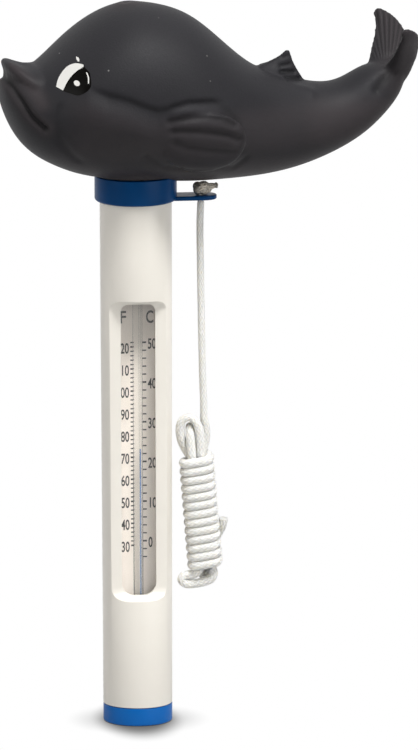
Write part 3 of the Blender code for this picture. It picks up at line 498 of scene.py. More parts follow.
def new_object(name: str, bm: bmesh.types.BMesh, finish: Finish, sharp: float = 35.0) -> bpy.types.Object:
    """Turn a bmesh into a smooth-shaded object.

    Args:
        name: The object's name.
        bm: The shape, which is freed.
        finish: The finish it gets.
        sharp: Edges that turn by more than this many degrees stay sharp.

    Returns:
        The new object, linked to the scene.
    """
    mesh = bpy.data.meshes.new(name)
    bm.to_mesh(mesh)
    bm.free()
    obj = bpy.data.objects.new(name, mesh)
    bpy.context.scene.collection.objects.link(obj)
    mesh.materials.append(finish.material())
    mesh.shade_smooth()
    mesh.set_sharp_from_angle(angle=math.radians(sharp))
    return obj


def install(obj: bpy.types.Object, body: Body, finish: Finish, *nodes: str) -> bpy.types.Object:
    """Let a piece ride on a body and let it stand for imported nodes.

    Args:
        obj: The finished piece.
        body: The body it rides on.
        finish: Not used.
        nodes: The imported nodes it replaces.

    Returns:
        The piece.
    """
    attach(obj, body.value)
    if nodes:
        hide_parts(*nodes)
    log.info("%s: %d faces on %s", obj.name, len(obj.data.polygons), body.value)
    return obj


def settle(obj: bpy.types.Object) -> None:
    """Apply an object's modifiers to its own mesh."""
    evaluated = obj.evaluated_get(bpy.context.evaluated_depsgraph_get())
    mesh = bpy.data.meshes.new_from_object(evaluated)
    worn = obj.data
    obj.modifiers.clear()
    obj.data = mesh
    bpy.data.meshes.remove(worn)


def clean(obj: bpy.types.Object, close: float = MERGE) -> None:
    """Merge an object's points that lie close together, drop faces without area and close gaps."""
    bm = bmesh.new()
    bm.from_mesh(obj.data)
    bmesh.ops.remove_doubles(bm, verts=bm.verts, dist=close)
    bmesh.ops.dissolve_degenerate(bm, dist=close, edges=bm.edges)
    bmesh.ops.holes_fill(bm, edges=[edge for edge in bm.edges if edge.is_boundary], sides=0)
    bm.to_mesh(obj.data)
    bm.free()


def combine(obj: bpy.types.Object, cut: Cut, *others: bpy.types.Object) -> None:
    """Cut shapes out of an object or join them to it, and remove those shapes.

    Args:
        obj: The object that changes.
        cut: What is done with the other shapes.
        others: The other shapes.
    """
    for other in others:
        modifier = obj.modifiers.new("combine", "BOOLEAN")
        modifier.object = other
        modifier.operation = cut.value
        modifier.solver = "EXACT"
    bpy.context.view_layer.update()
    settle(obj)
    clean(obj)
    for other in others:
        bpy.data.objects.remove(other, do_unlink=True)


def arc(centre: Spot, radius: float, start: float, end: float, steps: int) -> list[Spot]:
    """Return points of an arc from one angle to another, both ends included."""
    angles = [start + (end - start) * step / steps for step in range(steps + 1)]
    return [(centre[0] + radius * math.cos(angle), centre[1] + radius * math.sin(angle)) for angle in angles]


def turned(profile: list[Spot], segments: int, middle: Spot = (0.0, 0.0), closed: bool = False) -> bmesh.types.BMesh:
    """Spin a profile about an upright axis.

    Args:
        profile: Points of radius and height.
        segments: Steps of the full turn.
        middle: The axis's place.
        closed: Whether the profile's ends join, as on a ring.

    Returns:
        The closed form.
    """
    bm = bmesh.new()
    verts = [bm.verts.new((radius, 0.0, height)) for radius, height in profile]
    pairs = list(zip(verts, verts[1:]))
    if closed:
        pairs.append((verts[-1], verts[0]))
    edges = [bm.edges.new(pair) for pair in pairs]
    bmesh.ops.spin(
        bm, geom=verts + edges, cent=(0.0, 0.0, 0.0), axis=(0.0, 0.0, 1.0), angle=2 * math.pi,
        steps=segments, use_merge=True,
    )
    bmesh.ops.remove_doubles(bm, verts=bm.verts, dist=MERGE)
    bmesh.ops.recalc_face_normals(bm, faces=bm.faces)
    bmesh.ops.translate(bm, vec=(*middle, 0.0), verts=bm.verts)
    return bm


def block(low: Point, high: Point) -> bmesh.types.BMesh:
    """Return a box between two corners."""
    bm = bmesh.new()
    bmesh.ops.create_cube(bm, size=1.0)
    bmesh.ops.scale(bm, vec=Vector(high) - Vector(low), verts=bm.verts)
    bmesh.ops.translate(bm, vec=(Vector(high) + Vector(low)) / 2, verts=bm.verts)
    return bm


def prism(outline: list[Spot], matrix: Matrix, depth: float) -> bmesh.types.BMesh:
    """Extrude a flat outline along its own Z.

    Args:
        outline: The outline's points in its own plane.
        matrix: Where the plane stands.
        depth: How far the outline is drawn out.

    Returns:
        The closed prism.
    """
    bm = bmesh.new()
    face = bm.faces.new([bm.verts.new((across, along, 0.0)) for across, along in outline])
    drawn = bmesh.ops.extrude_face_region(bm, geom=[face])
    moved = [item for item in drawn["geom"] if isinstance(item, bmesh.types.BMVert)]
    bmesh.ops.translate(bm, vec=(0.0, 0.0, depth), verts=moved)
    bmesh.ops.transform(bm, matrix=matrix, verts=bm.verts)
    bmesh.ops.recalc_face_normals(bm, faces=bm.faces)
    return bm


def soften(bm: bmesh.types.BMesh, edges: list[bmesh.types.BMEdge], width: float, segments: int = 3) -> None:
    """Round edges of a shape.

    Args:
        bm: The shape.
        edges: The edges to round.
        width: The rounding's width.
        segments: Its steps.
    """
    bmesh.ops.bevel(
        bm, geom=edges, offset=width, offset_type="OFFSET", segments=segments, profile=0.5,
        affect="EDGES", clamp_overlap=True, material=-1,
    )


def sharp_edges(bm: bmesh.types.BMesh, degrees: float = 30.0) -> list[bmesh.types.BMEdge]:
    """Return the edges at which a shape turns by more than an angle."""
    least = math.radians(degrees)
    return [edge for edge in bm.edges if len(edge.link_faces) == 2 and edge.calc_face_angle(0.0) > least]


def smooth_route(points: list[Vector], spacing: float) -> list[Vector]:
    """Return points read at a spacing from a smooth curve through a route's own points."""
    ends = [points[0] * 2 - points[1], *points, points[-1] * 2 - points[-2]]
    route = [points[0]]
    for before, start, end, after in zip(ends, ends[1:], ends[2:], ends[3:]):
        steps = max(1, round((end - start).length / spacing))
        for step in range(1, steps + 1):
            t = step / steps
            bend = (before * 2 - start * 5 + end * 4 - after) * t * t
            twist = (start * 3 - before - end * 3 + after) * t * t * t
            route.append((start * 2 + (end - before) * t + bend + twist) / 2)
    return route


class Lamp(NamedTuple):
    """A square soft lamp: where it hangs in degrees, its size in metres and its power in watts."""

    name: str
    azimuth: float
    elevation: float
    size: float
    power: float


@dataclass
class Studio:
    """The camera at the photograph's angle, a pale floor and soft lamps."""

    azimuth: float = math.radians(-5.0)
    elevation: float = math.radians(11.5)
    roll: float = math.radians(0.2)
    distance: float = 6.0
    frame_height: float = 263.65 * MM
    centre_across: float = 25.4 * MM
    centre_up: float = 120.8 * MM
    sensor: float = 24.0
    floor_size: float = 8.0
    shadow_middle: Point = (0.0, -1.0 * MM, 0.0)
    shadow_half_sizes: Spot = (11.5 * MM, 25.0 * MM)
    shadow_fade: Spot = (0.55, 1.5)
    shadow_tone: float = 0.28
    shadow_reach: float = 14.0 * MM
    floor_tone: float = 0.56
    world_light: float = 0.09
    gloss_front: Spot = (-0.25, 0.35)
    floor_gloss: Spot = (-0.05, 0.15)
    lamps: tuple[Lamp, ...] = (
        Lamp("key_lamp", 25.0, 62.0, 0.38, 23.0),
        Lamp("left_lamp", -66.0, 24.0, 1.0, 6.4),
        Lamp("right_lamp", 46.0, 12.0, 1.0, 7.4),
    )
    lamp_distance: float = 1.5
    middle: Point = (0.02, 0.0, 0.13)

    def build(self) -> None:
        """Set up the camera, the lamps, the world and the floor."""
        bpy.context.scene.view_settings.view_transform = "Standard"
        self.camera()
        for lamp in self.lamps:
            self.hang(lamp)
        self.world()
        self.floor()

    def camera(self) -> None:
        """Aim the camera so that the frame is the photograph's."""
        turn, lift = self.azimuth, self.elevation
        right = Vector((math.cos(turn), math.sin(turn), 0.0))
        ahead = Vector((-math.sin(turn) * math.cos(lift), math.cos(turn) * math.cos(lift), -math.sin(lift)))
        up = right.cross(ahead)
        target = right * self.centre_across + up * self.centre_up
        side = right * math.cos(self.roll) - up * math.sin(self.roll)
        top = up * math.cos(self.roll) + right * math.sin(self.roll)
        lens = bpy.data.cameras.new("photo_camera")
        lens.sensor_fit = "VERTICAL"
        lens.sensor_height = self.sensor
        lens.sensor_width = self.sensor
        lens.lens = self.sensor * self.distance / self.frame_height
        lens.clip_start = 0.05
        lens.clip_end = 50.0
        camera = bpy.data.objects.new("photo_camera", lens)
        bpy.context.scene.collection.objects.link(camera)
        axes = Matrix((side, top, -ahead)).transposed()
        camera.matrix_world = Matrix.Translation(target - ahead * self.distance) @ axes.to_4x4()
        bpy.context.scene.camera = camera

    def hang(self, lamp: Lamp) -> None:
        """Hang a square soft lamp that looks at the middle of the object."""
        turn, lift = math.radians(lamp.azimuth), math.radians(lamp.elevation)
        away = Vector((math.sin(turn) * math.cos(lift), -math.cos(turn) * math.cos(lift), math.sin(lift)))
        light = bpy.data.lights.new(lamp.name, "AREA")
        light.energy = lamp.power
        light.size = lamp.size
        hung = bpy.data.objects.new(lamp.name, light)
        hung.location = Vector(self.middle) + away * self.lamp_distance
        hung.rotation_mode = "QUATERNION"
        hung.rotation_quaternion = away.to_track_quat("Z", "Y")
        bpy.context.scene.collection.objects.link(hung)

    def shown(self, sheet: NodeSheet, coordinates: str, span: Spot) -> bpy.types.NodeSocket:
        """Return where white shows: to the camera, through glass, and in gloss from behind the object.

        Args:
            sheet: The node sheet of the world or the floor.
            coordinates: The coordinates whose Y says how far behind the object a place is.
            span: The Y at which gloss starts to see white, and at which it sees all of it.

        Returns:
            The share of white.
        """
        split = sheet.add("ShaderNodeSeparateXYZ")
        sheet.feed(split.inputs[0], sheet.add("ShaderNodeTexCoord").outputs[coordinates])
        path = sheet.add("ShaderNodeLightPath")
        gloss = sheet.maths("MULTIPLY", path.outputs["Is Glossy Ray"], sheet.step(split.outputs[1], *span))
        seen = sheet.maths("MAXIMUM", path.outputs["Is Camera Ray"], gloss)
        return sheet.maths("MAXIMUM", seen, path.outputs["Is Transmission Ray"])

    def world(self) -> None:
        """Light softly from all round, and show white to the camera, in gloss and through glass."""
        world = bpy.data.worlds.new("white_room")
        world.use_nodes = True
        sheet = NodeSheet(world.node_tree)
        soft = world.node_tree.nodes["Background"]
        soft.inputs["Color"].default_value = (1.0, 0.99, 0.97, 1.0)
        soft.inputs["Strength"].default_value = self.world_light
        white = sheet.add("ShaderNodeBackground")
        white.inputs["Color"].default_value = (1.0, 1.0, 1.0, 1.0)
        mix = sheet.add("ShaderNodeMixShader")
        sheet.feed(mix.inputs[0], self.shown(sheet, "Generated", self.gloss_front))
        sheet.feed(mix.inputs[1], soft.outputs[0])
        sheet.feed(mix.inputs[2], white.outputs[0])
        sheet.feed(world.node_tree.nodes["World Output"].inputs["Surface"], mix.outputs[0])
        bpy.context.scene.world = world

    def floor(self) -> None:
        """Lay a white floor that shows a close shadow round the object's foot: a painted soft spot times ambient
        occlusion.
        """
        bm = bmesh.new()
        bmesh.ops.create_grid(bm, x_segments=8, y_segments=8, size=self.floor_size)
        bmesh.ops.translate(bm, vec=(0.0, 0.0, -0.05 * MM), verts=bm.verts)
        mesh = bpy.data.meshes.new("studio_floor")
        bm.to_mesh(mesh)
        bm.free()
        floor = bpy.data.objects.new("studio_floor", mesh)
        bpy.context.scene.collection.objects.link(floor)
        material = bpy.data.materials.new("white_floor")
        material.use_nodes = True
        sheet = NodeSheet(material.node_tree)
        shader = material.node_tree.nodes["Principled BSDF"]
        shader.inputs["Base Color"].default_value = (self.floor_tone, self.floor_tone, self.floor_tone, 1.0)
        shader.inputs["Roughness"].default_value = 0.9
        shader.inputs["Specular IOR Level"].default_value = 0.1
        # Painted shadow: a soft elliptical spot round the foot, fixed on the floor, darkened further by ambient
        # occlusion.
        offset = sheet.add("ShaderNodeVectorMath", operation="SUBTRACT")
        sheet.feed(offset.inputs[0], sheet.add("ShaderNodeTexCoord").outputs["Object"])
        offset.inputs[1].default_value = self.shadow_middle
        shrunk = sheet.add("ShaderNodeVectorMath", operation="MULTIPLY")
        sheet.feed(shrunk.inputs[0], offset.outputs[0])
        shrunk.inputs[1].default_value = (1 / self.shadow_half_sizes[0], 1 / self.shadow_half_sizes[1], 0.0)
        away = sheet.add("ShaderNodeVectorMath", operation="LENGTH")
        sheet.feed(away.inputs[0], shrunk.outputs[0])
        outside_painted_shadow = sheet.step(away.outputs["Value"], *self.shadow_fade)
        soft = sheet.maths("MULTIPLY_ADD", outside_painted_shadow, 1.0 - self.shadow_tone, self.shadow_tone)
        near = sheet.add("ShaderNodeAmbientOcclusion", samples=16)
        near.inputs["Distance"].default_value = self.shadow_reach
        white = sheet.add("ShaderNodeEmission")
        sheet.feed(white.inputs["Strength"], sheet.maths("MULTIPLY", soft, near.outputs["AO"]))
        mix = sheet.add("ShaderNodeMixShader")
        sheet.feed(mix.inputs[0], self.shown(sheet, "Object", self.floor_gloss))
        sheet.feed(mix.inputs[1], shader.outputs[0])
        sheet.feed(mix.inputs[2], white.outputs[0])
        sheet.feed(material.node_tree.nodes["Material Output"].inputs["Surface"], mix.outputs[0])
        mesh.materials.append(material)


@dataclass
class Tether:
    """The braided cord: its stopper knot on the tab, the free stretch and the wrapped hank."""

    diameter: float = 2.5 * MM
    spacing: float = 0.6 * MM
    sides: int = 16
    wrapped_diameter: float = 3.2 * MM
    swell_run: float = 6.0 * MM
    bend_run: Point = (0.0, 0.0, 2.5 * MM)
    tab_top: float = 187.4 * MM
    knot_strand: float = 1.6 * MM
    knot_reach: float = 1.4 * MM
    knot_swell: float = 0.62 * MM
    knot_middle: float = 2.26 * MM
    knot_shift: float = 0.45 * MM
    knot_steps: int = 40
    tail_strand: float = 0.85 * MM
    tail_taper: float = 3.0 * MM
    hank_lean: float = math.radians(4.4)
    hank_turns: float = 13.375
    wrap_start: float = math.radians(-150.0)
    wrap_top: float = -1.15 * MM
    wrap_join: int = 20
    wrap_squareness: float = 2.2
    hank_pitch: float = 3.05 * MM
    run_offset: float = 1.53 * MM
    clearance: float = 0.62 * MM
    points_per_turn: int = 48
    fray_strands: int = 24
    fray_length: float = 1.5 * MM
    fray_radius: float = 0.15 * MM
    knot_stem: tuple[Point, ...] = ((0.0, 0.0, -1.9), (0.0, 0.0, 0.3))
    knot_tail: tuple[Point, ...] = ((3.0, -1.3, 2.8), (4.0, -1.7, 3.2), (4.9, -1.8, 3.3))
    cord_route: tuple[Point, ...] = (
        (0.0, 0.0, 0.0),
        (-0.3, 0.1, -9.0),
        (-0.1, 0.3, -26.0),
        (0.2, 0.2, -49.0),
        (0.5, 0.0, -64.0),
        (0.75, 0.0, -70.0),
        (0.8, 0.0, -73.0),
    )
    hank_runs: tuple[Point, ...] = (
        (3.95, 0.3, -15.5), (3.85, 0.5, -13.0), (4.2, 1.1, -9.0), (3.6, 1.5, -4.5), (1.9, 1.6, -0.4),
        (1.53, 1.53, 4.0), (1.53, 1.53, 36.5), (1.75, 1.7, 39.8), (1.7, 1.9, 41.4), (1.2, 2.0, 42.8),
        (0.0, 2.1, 43.4), (-1.2, 2.0, 42.8), (-1.7, 1.9, 41.4), (-1.75, 1.7, 39.8), (-1.53, 1.53, 36.5),
        (-1.53, 1.53, 4.0), (-1.7, 1.5, 0.9), (-3.3, 1.1, -2.4), (-4.5, 0.6, -5.6), (-4.9, 0.1, -9.4),
        (-4.2, -0.5, -12.8), (-1.9, -1.0, -14.2), (0.5, -1.4, -13.0), (1.7, -1.6, -9.6), (1.9, -1.65, -5.0),
        (1.6, -1.55, 0.0), (1.53, -1.53, 4.0), (1.53, -1.53, 36.5), (2.0, -1.7, 39.8), (2.6, -1.85, 42.0),
        (1.4, -1.95, 44.0), (-1.2, -2.0, 44.8), (-4.4, -2.0, 45.1), (-7.2, -2.0, 44.9), (-8.7, -2.0, 43.5),
        (-8.0, -1.95, 42.0), (-6.0, -1.9, 41.8), (-4.0, -1.8, 41.6), (-2.2, -1.7, 39.8), (-1.53, -1.53, 35.5),
        (-1.53, -1.53, 4.0), (-1.6, -1.7, 0.5), (-1.6, -1.6, -4.0), (-1.5, -0.9, -8.0), (-1.3, 0.6, -10.4),
        (-0.9, 2.3, -9.8), (-0.6, 3.7, -6.4), (0.0, 4.4, -3.0), (0.9, 4.3, -1.3),
    )
    hank_tail: tuple[Point, ...] = (
        (4.4, 5.0, 39.8), (5.2, 6.9, 38.4), (4.9, 7.9, 35.0), (5.1, 7.6, 31.6), (6.3, 6.1, 29.0),
        (7.2, 4.8, 27.2), (7.8, 4.1, 25.4), (8.1, 3.8, 24.0),
    )

    def build(self, frame: dict) -> None:
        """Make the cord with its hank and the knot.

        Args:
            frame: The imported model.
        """
        joints = {joint["name"]: joint for joint in frame["record"]["behaviour"]["joints"]}
        swing = Vector(joints["tether_swing"]["pos_m"])
        sway = Vector(joints["hank_sway"]["pos_m"])
        free = smooth_route([swing + Vector(point) * MM for point in self.cord_route], self.spacing)
        hank = self.hank(sway)
        route = free[:-1] + smooth_route([free[-1], hank[0]], self.spacing)[:-1] + hank
        outward = (route[0] - route[1]).normalized()
        radius = self.diameter / 2
        angles = [math.radians(degrees) for degrees in (82, 60, 30)]
        start = [route[0] + outward * radius * math.sin(angle) for angle in angles]
        radii = [radius * math.cos(angle) for angle in angles]
        for point in route:
            share = min(1.0, max(0.0, (sway.z - point.z) / self.swell_run))
            radii.append(radius + (self.wrapped_diameter / 2 - radius) * share)
        cord = braid_tube("braided_cord", start + route, radii, self.sides, BRAID)
        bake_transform(cord)
        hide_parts("tether_cord", "tether_hank")
        knot = self.knot(swing)

    def hank(self, sway: Vector) -> list[Vector]:
        """Return the hank's centreline: four runs, their folds, the wraps and the cut tail.

        Args:
            sway: Where the hank hangs on the free cord.

        Returns:
            Points from the free cord to the tail.
        """
        wraps = self.wraps()
        runs = [Vector(point) * MM for point in self.hank_runs]
        inner = smooth_route([*runs, *wraps[self.wrap_join : self.wrap_join + 2]], self.spacing)
        tail = [Vector(point) * MM for point in self.hank_tail]
        outer = smooth_route([wraps[-3], wraps[-1], *tail], self.spacing)
        centreline = inner + wraps[self.wrap_join + 2 : -3] + outer
        lean = Matrix.Rotation(-self.hank_lean, 4, "Y")
        upright = [lean @ Vector((right, back, -down)) for right, back, down in centreline]
        return [point + sway - upright[0] for point in upright]

    def wraps(self) -> list[Vector]:
        """Return the wraps: turns of a rounded square about the four runs, going down."""
        points = []
        for index in range(round(self.hank_turns * self.points_per_turn) + 1):
            turn = index / self.points_per_turn
            angle = self.wrap_start - 2 * math.pi * turn
            across = Vector((math.cos(angle), math.sin(angle), 0.0))
            corner = [self.run_offset * max(-1.0, min(1.0, self.wrap_squareness * part)) for part in across]
            down = Vector((0.0, 0.0, self.wrap_top + self.hank_pitch * turn))
            points.append(Vector(corner) + across * (self.diameter + self.clearance) + down)
        return points

    def knot(self, swing: Vector) -> bpy.types.Object:
        """Make the stopper knot with its frayed tail on the tab.

        Args:
            swing: The free cord's upper end, under the eye.

        Returns:
            The knot.
        """
        eye = Vector((swing.x, swing.y, self.tab_top))
        turns = []
        for step in range(self.knot_steps + 1):
            turn = 2 * math.pi * (0.04 + 0.92 * step / self.knot_steps)
            reach = self.knot_reach + self.knot_swell * math.cos(3 * turn)
            rise = self.knot_middle + self.knot_swell * math.sin(3 * turn)
            turns.append(Vector((self.knot_shift + reach * math.cos(2 * turn), reach * math.sin(2 * turn), rise)))
        stem = [Vector(point) * MM for point in self.knot_stem]
        tail = [Vector(point) * MM for point in self.knot_tail]
        route = smooth_route([eye + point for point in stem + turns + tail], self.spacing)
        end = route[-1]
        radii = []
        for point in route:
            share = min(1.0, (point - end).length / self.tail_taper)
            radii.append(self.tail_strand + (self.knot_strand - self.tail_strand) * share)
        # The knot takes the darker braid: painted shade.
        knot = braid_tube("stopper_knot", route, radii, self.sides, SHADED_BRAID)
        bm = bmesh.new()
        bm.from_mesh(knot.data)
        ahead = (route[-1] - route[-3]).normalized()
        side = ahead.cross(Vector((0.0, 0.0, 1.0))).normalized()
        top = side.cross(ahead)
        for index in range(self.fray_strands):
            angle = index * math.radians(137.5)
            away = math.sqrt((index + 0.5) / self.fray_strands)
            out = side * math.cos(angle) + top * math.sin(angle)
            root = end + out * self.tail_strand * 0.8 * away - ahead * 0.3 * MM
            spread = 0.1 + 0.35 * away
            reach = self.fray_length * (0.65 + 0.35 * math.cos(2.4 * index))
            tip = root + (ahead + out * spread + top * 0.25).normalized() * reach
            sag = (root + tip) / 2 + ahead * 0.12 * reach
            strand = smooth_route([root, sag, tip], 0.4 * MM)
            fray = braid_tube("fray", strand, [self.fray_radius] * len(strand), 6, SHADED_BRAID)
            bm.from_mesh(fray.data)
            bpy.data.objects.remove(fray, do_unlink=True)
        bm.to_mesh(knot.data)
        bm.free()
        return install(knot, Body.CASE, SHADED_BRAID, "tether_knot")


def braid_tube(
    name: str, route: list[Vector], radii: list[float], sides: int, finish: BraidFinish
) -> bpy.types.Object:
    """Draw a braided tube along a route, mapped in millimetres along it and turns around it.

    Args:
        name: The object's name.
        route: The centreline's points.
        radii: The tube's radius at each point.
        sides: Points of its cross-section, an even number.
        finish: The finish it gets.

    Returns:
        The closed tube.
    """
    curve = bpy.data.curves.new(name, "CURVE")
    curve.dimensions = "3D"
    curve.bevel_depth = 1.0
    curve.bevel_resolution = (sides - 4) // 2
    spline = curve.splines.new("POLY")
    spline.points.add(len(route) - 1)
    for point, place, radius in zip(spline.points, route, radii):
        point.co = (*place, 1.0)
        point.radius = radius
    drawn = bpy.data.objects.new(name, curve)
    bpy.context.scene.collection.objects.link(drawn)
    bpy.context.view_layer.update()
    mesh = bpy.data.meshes.new_from_object(drawn.evaluated_get(bpy.context.evaluated_depsgraph_get()))
    bpy.data.objects.remove(drawn, do_unlink=True)
    bpy.data.curves.remove(curve)

    corners = np.zeros(len(mesh.loops), dtype=np.int64)
    mesh.loops.foreach_get("vertex_index", corners)
    ring, side = np.divmod(corners, sides)
    quads = side.reshape(-1, 4)
    seam = np.ptp(quads, axis=1) > sides // 2
    quads[seam] = np.where(quads[seam] == 0, sides, quads[seam])
    places = np.array(route) / MM
    along = np.concatenate(([0.0], np.cumsum(np.linalg.norm(np.diff(places, axis=0), axis=1))))
    layer = mesh.uv_layers.get("UVMap") or mesh.uv_layers.new(name="UVMap")
    layer.data.foreach_set("uv", np.column_stack((along[ring], quads.ravel() / sides)).ravel())

    bm = bmesh.new()
    bm.from_mesh(mesh)
    bpy.data.meshes.remove(mesh)
    bmesh.ops.holes_fill(bm, edges=[edge for edge in bm.edges if edge.is_boundary], sides=0)
    bmesh.ops.recalc_face_normals(bm, faces=bm.faces)
    return new_object(name, bm, finish, 70.0)


class Section(NamedTuple):
    """One cross-section of the float in millimetres: its centre, half sizes and lean in degrees."""

    along: float
    up: float
    half_height: float
    half_width: float
    lean: float


class FinSection(NamedTuple):
    """One cross-section of a fin in millimetres: its leading and trailing edge and its half thickness."""

    leading: Point
    trailing: Point
    half_thickness: float


class Crease(NamedTuple):
    """A line drawn into the float's skin, in millimetres: raised where its height is above nothing, its shade darkening
    the line as painted shade.
    """

    route: tuple[tuple[float, ...], ...]
    height: float
    spread: float
    shade: float


def ring_matrix(centre: Vector, across: Vector, upward: Vector) -> Matrix:
    """Return the matrix that lays a unit circle on two half axes about a centre."""
    facing = across.cross(upward).normalized()
    return Matrix.Translation(centre) @ Matrix((across, upward, facing)).transposed().to_4x4()


def lofted(rings: list[Matrix], segments: int, levels: int) -> bmesh.types.BMesh:
    """Skin a row of rings, close both ends and smooth the cage.

    Args:
        rings: Where each unit circle lies.
        segments: Points of each circle.
        levels: Smoothing steps.

    Returns:
        The closed form.
    """
    bm = bmesh.new()
    loops = []
    for ring in rings:
        made = bmesh.ops.create_circle(bm, cap_ends=False, segments=segments, radius=1.0, matrix=ring)
        loops.append(list(dict.fromkeys(edge for vert in made["verts"] for edge in vert.link_edges)))
    for first, second in zip(loops, loops[1:]):
        bmesh.ops.bridge_loops(bm, edges=first + second)
    bmesh.ops.holes_fill(bm, edges=[edge for edge in bm.edges if edge.is_boundary], sides=0)
    bmesh.ops.recalc_face_normals(bm, faces=bm.faces)
    cage = new_object("cage", bm, VINYL)
    smooth = cage.modifiers.new("smooth", "SUBSURF")
    smooth.levels = levels
    smooth.render_levels = levels
    bpy.context.view_layer.update()
    settle(cage)
    shape = bmesh.new()
    shape.from_mesh(cage.data)
    bpy.data.objects.remove(cage, do_unlink=True)
    return shape


def distance_to(points: np.ndarray, route: tuple[tuple[float, ...], ...]) -> np.ndarray:
    """Return the distance of each point to a line through a route's points."""
    least = np.full(len(points), np.inf)
    for start, end in zip(np.array(route), np.array(route)[1:]):
        run = end - start
        share = np.clip((points - start) @ run / (run @ run), 0.0, 1.0)
        least = np.minimum(least, np.linalg.norm(points - start - share[:, None] * run, axis=1))
    return least


def inside(points: np.ndarray, outline: tuple[Spot, ...]) -> np.ndarray:
    """Return which flat points lie inside a closed outline."""
    found = np.zeros(len(points), dtype=bool)
    for (x0, z0), (x1, z1) in zip(outline, outline[1:] + outline[:1]):
        spans = (points[:, 1] < z0) != (points[:, 1] < z1)
        rise = z1 - z0 if z1 != z0 else 1.0
        found ^= spans & (points[:, 0] < x0 + (points[:, 1] - z0) * (x1 - x0) / rise)
    return found


def soft_step(values: np.ndarray, low: float, high: float) -> np.ndarray:
    """Return a soft step from 0 at one value to 1 at another."""
    share = np.clip((values - low) / (high - low), 0.0, 1.0)
    return share * share * (3.0 - 2.0 * share)


